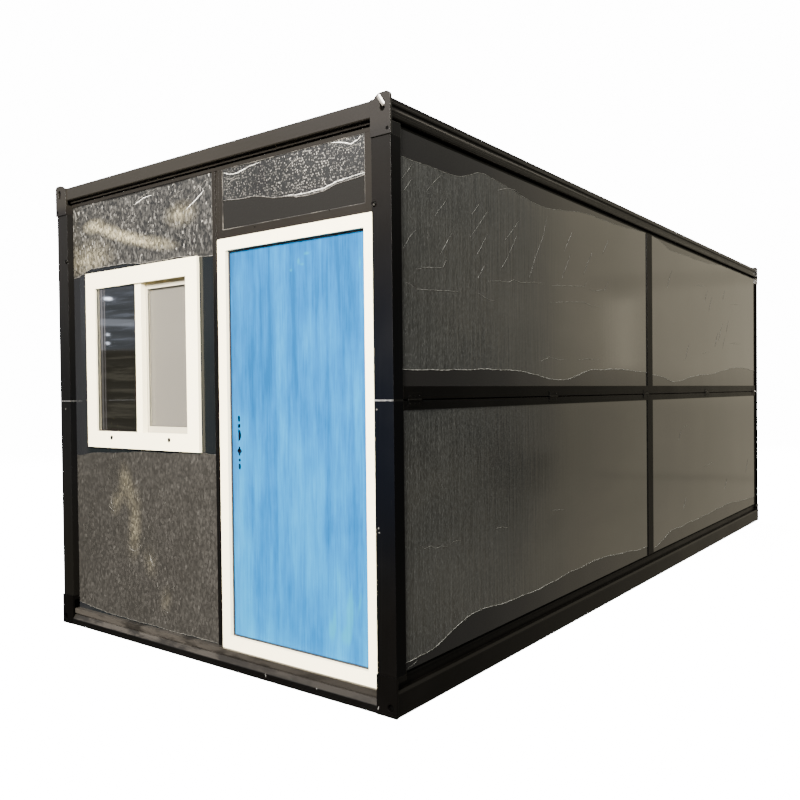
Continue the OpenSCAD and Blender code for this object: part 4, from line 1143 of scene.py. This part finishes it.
def heads(name, material, slot, spots, radius, tall, sides=12):
    """One piece with a head at each (point, facing)."""
    bm = bmesh.new()
    for at, facing in spots:
        head(bm, at, facing, radius, tall, sides)
    add_piece(name, bm, slot, material)
    print(name, len(spots))


# %% [markdown]
# Each group of heads is one mesh, so that the scene keeps few objects. Six screws hold
# each fold hinge, two rivets hold the frame of the panel over the door, pivot bolts and
# screws sit at the four corners, caps close the window's weep holes, and six screws
# hold each rib of the roof sheet.

# %% Screws, rivets and bolts
def corners_at(x, y, z):
    """A point on each of the four corners, facing out of its end wall."""
    return [((side * x, end * y, z), (0, end, 0)) for side in (-1, 1) for end in (-1, 1)]


def on_front(y, *spots):
    return [((x, y, z), (0, -1, 0)) for x, z in spots]


RAIL_X, FOLD_Z = cad_high.x - 6 * MM, 1.286
HALF_HINGE, SHIFTED = 45 * MM, 130 * MM
hinge_low, hinge_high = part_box("fold_hinges")
middles = [hinge_low.y + HALF_HINGE + n * (hinge_high.y - hinge_low.y - 2 * HALF_HINGE) / 4
           - (SHIFTED if 0 < n < 4 else 0) for n in range(5)]
hinge_spots = [((side * RAIL_X, y + dy, FOLD_Z + dz), (side, 0, 0)) for side in (-1, 1)
               for y in middles for dy in (-0.032, 0, 0.032) for dz in (-0.016, 0.016)]
heads("fold_hinge_screws", dim_paint, "hinge_steel", hinge_spots,
      3.2 * MM, 1.4 * MM, 8)
wall_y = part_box("front_transom_frame")[0].y
heads("transom_rivets", dim_paint, "frame_steel",
      on_front(wall_y, (0.869, 2.102), (0.40, 2.090)), 4.5 * MM, 1.8 * MM)
heads("corner_pivot_bolts", dim_paint, "frame_steel",
      corners_at(1.147, 2.894, 2.082), 13 * MM, 7 * MM, 20)
heads("corner_plate_screws", rail_paint, "frame_steel",
      corners_at(1.2235, 2.9, 2.3725), 8 * MM, 1 * MM)
heads("window_weep_caps", rail_paint, "window_glass",
      on_front(frame_low.y, (-0.758, 1.085), (-0.249, 1.085)), 12 * MM, 1.5 * MM)
RIBS, RIB_PITCH, SCREW_ROWS = 28, 0.2, (0.22, 0.66, 1.1)
sheet_low, sheet_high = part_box("roof_sheet")
ribs = [sheet_low.y + 120 * MM + n * RIB_PITCH for n in range(RIBS)]
rows = [-x for x in reversed(SCREW_ROWS)] + list(SCREW_ROWS)
heads("roof_sheet_screws", zinc_plate, "zinc_plate",
      [((x, y, sheet_high.z), (0, 0, 1)) for y in ribs for x in rows], 6 * MM, 3 * MM, 8)

# %% [markdown]
# Behind each lifting slot and lashing hole stands a stiffener of thick plate, so that a
# hook pulls on steel and not on folded sheet. Only its face shows through the hole, so
# nothing finer is needed than a cube, scaled to a plate, with all its edges bevelled,
# once for each of the eight places.

# %% Stiffeners
SLOT_PLATE, HOLE_PLATE = (1.197, 2.464, 62 * MM), (1.203, 0.045, 76 * MM)
PLATE_Y = 2.881
bm = bmesh.new()
for side in (-1, 1):
    for end in (-1, 1):
        for x, z, tall in (SLOT_PLATE, HOLE_PLATE):
            made = bmesh.ops.create_cube(bm, size=1.0)["verts"]
            bmesh.ops.scale(bm, vec=(58 * MM, 8 * MM, tall), verts=made)
            edges = list({edge for vert in made for edge in vert.link_edges})
            made = bmesh.ops.bevel(bm, geom=edges, offset=1.5 * MM, offset_type="OFFSET",
                                   segments=2, profile=0.5, material=-1,
                                   affect="EDGES")["faces"]
            verts = list({vert for face in made for vert in face.verts})
            bmesh.ops.translate(bm, vec=(side * x, end * PLATE_Y, z), verts=verts)
add_piece("corner_stiffeners", bm, "frame_steel", rail_paint)
print("eight stiffeners")

# %% [markdown]
# The lifting lug at the front right still holds a tie strip: flat white plastic that
# comes out of the slot, crosses the plate and goes over the end rail. It could be a
# curve with a flat profile, but a strip that turns is easier to lay as a row of squares
# along a few points, smoothed by Subdivision Surface and thickened by Solidify.

# %% Tie strip
def strap(name, spots, half, material, slot):
    """A flat strip: each spot is (point, direction of its width)."""
    last = len(spots) - 1
    bm = bmesh.new()
    bmesh.ops.create_grid(bm, x_segments=last, y_segments=1, size=0.5)
    for vert in bm.verts:
        point, width = spots[round((vert.co.x + 0.5) * last)]
        vert.co = Vector(point) + Vector(width).normalized() * half * (1 if vert.co.y > 0 else -1)
    bmesh.ops.recalc_face_normals(bm, faces=bm.faces)
    for face in bm.faces:
        face.smooth = True
    piece = add_piece(name, bm, slot, material)
    smooth = piece.modifiers.new("smooth", "SUBSURF")
    smooth.levels = smooth.render_levels = 2
    gauge = piece.modifiers.new("gauge", "SOLIDIFY")
    gauge.thickness, gauge.offset = 1.0 * MM, 0.0


def tie_plastic(w):
    dirt = cloud(w, 70.0, 4.0)
    # Painted shade and light: the left half of the strip is grey and the right half white, as its
    # fold is lit.
    across = 0.83 * away(w, "X") + 0.56 * axis(w, "Z")
    clean = mix(w, ease(w, across, 2.3840, 2.3875), (0.10, 0.092, 0.080), (0.80, 0.78, 0.74))
    return {"Base Color": mix(w, dirt * 0.35, clean, (0.20, 0.185, 0.165)),
            "Roughness": 0.35 + 0.2 * dirt,
            "Normal": bump(w, dirt, 0.3, 0.0008)}


white_tie = finish("white_tie", tie_plastic)
FACE_Y, ALONG_SLOT = cad_low.y, (0.83, 0, 0.56)
TIE = [((1.204, FACE_Y + 0.024, 2.470), ALONG_SLOT), ((1.207, FACE_Y + 0.008, 2.468), ALONG_SLOT),
       ((1.206, FACE_Y - 0.0010, 2.471), ALONG_SLOT),
       ((1.198, FACE_Y - 0.0014, 2.483), ALONG_SLOT),
       ((1.187, FACE_Y - 0.0014, 2.499), ALONG_SLOT),
       ((1.179, FACE_Y - 0.0006, 2.512), (0.85, 0, 0.50)),
       ((1.174, FACE_Y + 0.005, 2.5155), (0.95, 0, 0.25)),
       ((1.168, FACE_Y + 0.014, 2.5120), (0.97, 0, 0.10)),
       ((1.158, FACE_Y + 0.030, 2.5035), (0.98, 0.1, 0)),
       ((1.145, FACE_Y + 0.050, 2.5015), (0.98, 0.2, 0))]
strap("right_tie_strip", TIE, 9 * MM, white_tie, "cream_frame")
print("one tie strip,", len(TIE), "points")

# %% [markdown]
# The house stands on nothing in particular, so the floor is one large pale sheet that
# only the eye sees: it glows by itself and neither lights the house nor shows in it. It
# belongs to the stage and not to the part.

# %% Floor
def pale(w):
    tone = cloud(w, 0.4, 2.0)
    return {"Base Color": mix(w, tone, (0.92, 0.92, 0.915), (0.95, 0.95, 0.945)),
            "Roughness": 0.75 + 0.1 * tone}


bm = bmesh.new()
bmesh.ops.create_grid(bm, x_segments=1, y_segments=1, size=40.0)
bmesh.ops.translate(bm, vec=(0, 0, -1 * MM), verts=bm.verts)
ground = shape("ground", bm, finish("pale_floor", pale, Emission_Color=(1, 1, 1, 1),
                                    Emission_Strength=14.0))
ground.visible_glossy = ground.visible_diffuse = False
print("ground", [round(v) for v in ground.dimensions])

# %% [markdown]
# Dark gloss shows what stands round it more than its own colour. The eye sees a plain
# white room, and everything else sees a dim hall with a few bright and dark blocks in
# it. An image of a hall could stand there, but blocks listed one by one say exactly what
# each wall mirrors. They are placed by the slope and the rise of the ray that looks.

# %% The hall that the gloss mirrors
world = bpy.data.worlds.new("studio")
bpy.context.scene.world = world
world.use_nodes = True
w = Wire(world.node_tree)
background = world.node_tree.nodes["Background"]
ray = w.node("ShaderNodeTexCoord")
east, north, rise = (w.node("ShaderNodeSeparateXYZ", inputs={0: ray}, out=n)
                     for n in range(3))
right_slope = north / w.maths("MAXIMUM", east, 0.02)
left_slope = east / w.maths("MINIMUM", north, -0.02)


def block(slope, sides, rises, soft):
    """A soft rectangle between two slopes and two rises of the ray."""
    between = [ease(w, value, low, low + blur) - ease(w, value, high, high + blur)
               for value, (low, high), blur in ((slope, sides, soft), (rise, rises, soft / 4))]
    return between[0] * between[1]


def add_blocks(hall, slope, blocks):
    for light, sides, rises, soft in blocks:
        hall = hall + light * block(slope, sides, rises, soft)
    return hall


# light, from slope to slope, from rise to rise, softness
GATE_HATCH_DOOR_KERB_BEAM = [
    (-0.10, (1.33, 1.66), (-0.175, -0.065), 0.04), (-0.22, (1.72, 1.88), (-0.135, -0.085), 0.06),
    (0.60, (2.33, 2.52), (0.020, 0.105), 0.04), (-0.12, (2.20, 9.0), (-0.112, -0.106), 0.02),
    (-0.14, (2.15, 9.0), (0.118, 0.136), 0.03)]
LAMPS_IN_THE_WINDOW = [
    (1.6, (1.50, 1.63), (0.079, 0.087), 0.006), (30.0, (1.585, 1.612), (0.1085, 0.1115), 0.006),
    (12.0, (1.597, 1.609), (0.0677, 0.0705), 0.004),
    (14.0, (1.597, 1.609), (0.0577, 0.0605), 0.004)]

upper = ease(w, rise, -0.03, 0.03)
open_hall = ease(w, right_slope, 1.42, 2.15)
right_hall = add_blocks(0.16 + 0.03 * upper + (0.52 + 0.28 * upper) * open_hall,
                        right_slope, GATE_HATCH_DOOR_KERB_BEAM)
above = ease(w, rise, 0.0500, 0.0530)
slats = waves(w, "Z", ray, 22.0, Distortion=1.5, Detail=3.0)
left_hall = add_blocks(0.07 + 0.05 * slats + (0.20 + 0.16 * slats) * above,
                       left_slope, LAMPS_IN_THE_WINDOW)
left_side = ease(w, 0.0 - east, -0.05, 0.05)
hall = (right_hall * (1.0 - left_side) + left_hall * left_side
        + ease(w, rise, 0.12, 0.60) * 0.9)
seen = w.node("ShaderNodeLightPath")
bright = seen * 15.0 + (1.0 - seen) * hall
cool = mix(w, above, (1.0, 0.92, 0.80), (0.86, 0.92, 1.06))
side_tint = mix(w, open_hall, (1.0, 0.98, 0.88), (1.0, 0.90, 0.68))
tint = mix(w, seen, mix(w, left_side, side_tint, cool), 1.0)
world.node_tree.links.new(bright.socket, background.inputs["Strength"])
world.node_tree.links.new(tint.socket, background.inputs["Color"])
print("hall made of", len(world.node_tree.nodes), "nodes")

# %% [markdown]
# Four large rectangular lamps light the house: a warm key from the front, one for the
# back, a weak fill for the long wall, and a faint one high up. Point lamps would cast
# hard shadows. The eye never sees a lamp, and only the front pair shows in the gloss.

# %% Lamps
def softbox(name, at, towards, wide, tall, glow, tint=(1, 1, 1), mirrored=True):
    """A rectangular lamp of an even brightness, unseen by the eye itself."""
    lamp = bpy.data.lights.new(name, "AREA")
    lamp.shape, lamp.size, lamp.size_y = "RECTANGLE", wide, tall
    lamp.energy, lamp.color = glow * math.pi * wide * tall, tint
    box = new_object(name, lamp)
    aim = (Vector(towards) - Vector(at)).to_track_quat("-Z", "Y")
    box.matrix_world = Matrix.Translation(at) @ aim.to_matrix().to_4x4()
    box.visible_camera, box.visible_glossy = False, mirrored
    print("lamp", name, round(lamp.energy), "W")


softbox("key", (3.2, -10.5, 5.0), (0.3, -2.9, 1.3), 3.0, 3.0, 270.0, (1.0, 0.955, 0.885))
softbox("back_key", (-6.0, 8.0, 5.0), (-0.6, 1.0, 1.3), 3.0, 3.0, 200.0, mirrored=False)
softbox("side_fill", (9.0, -5.0, 3.5), (1.24, -0.5, 1.2), 3.0, 3.0, 35.0, mirrored=False)
softbox("ceiling_lamp", (-2.5, -8.5, 5.6), (1.0, -2.9, 2.4), 4.0, 2.0, 4.0)
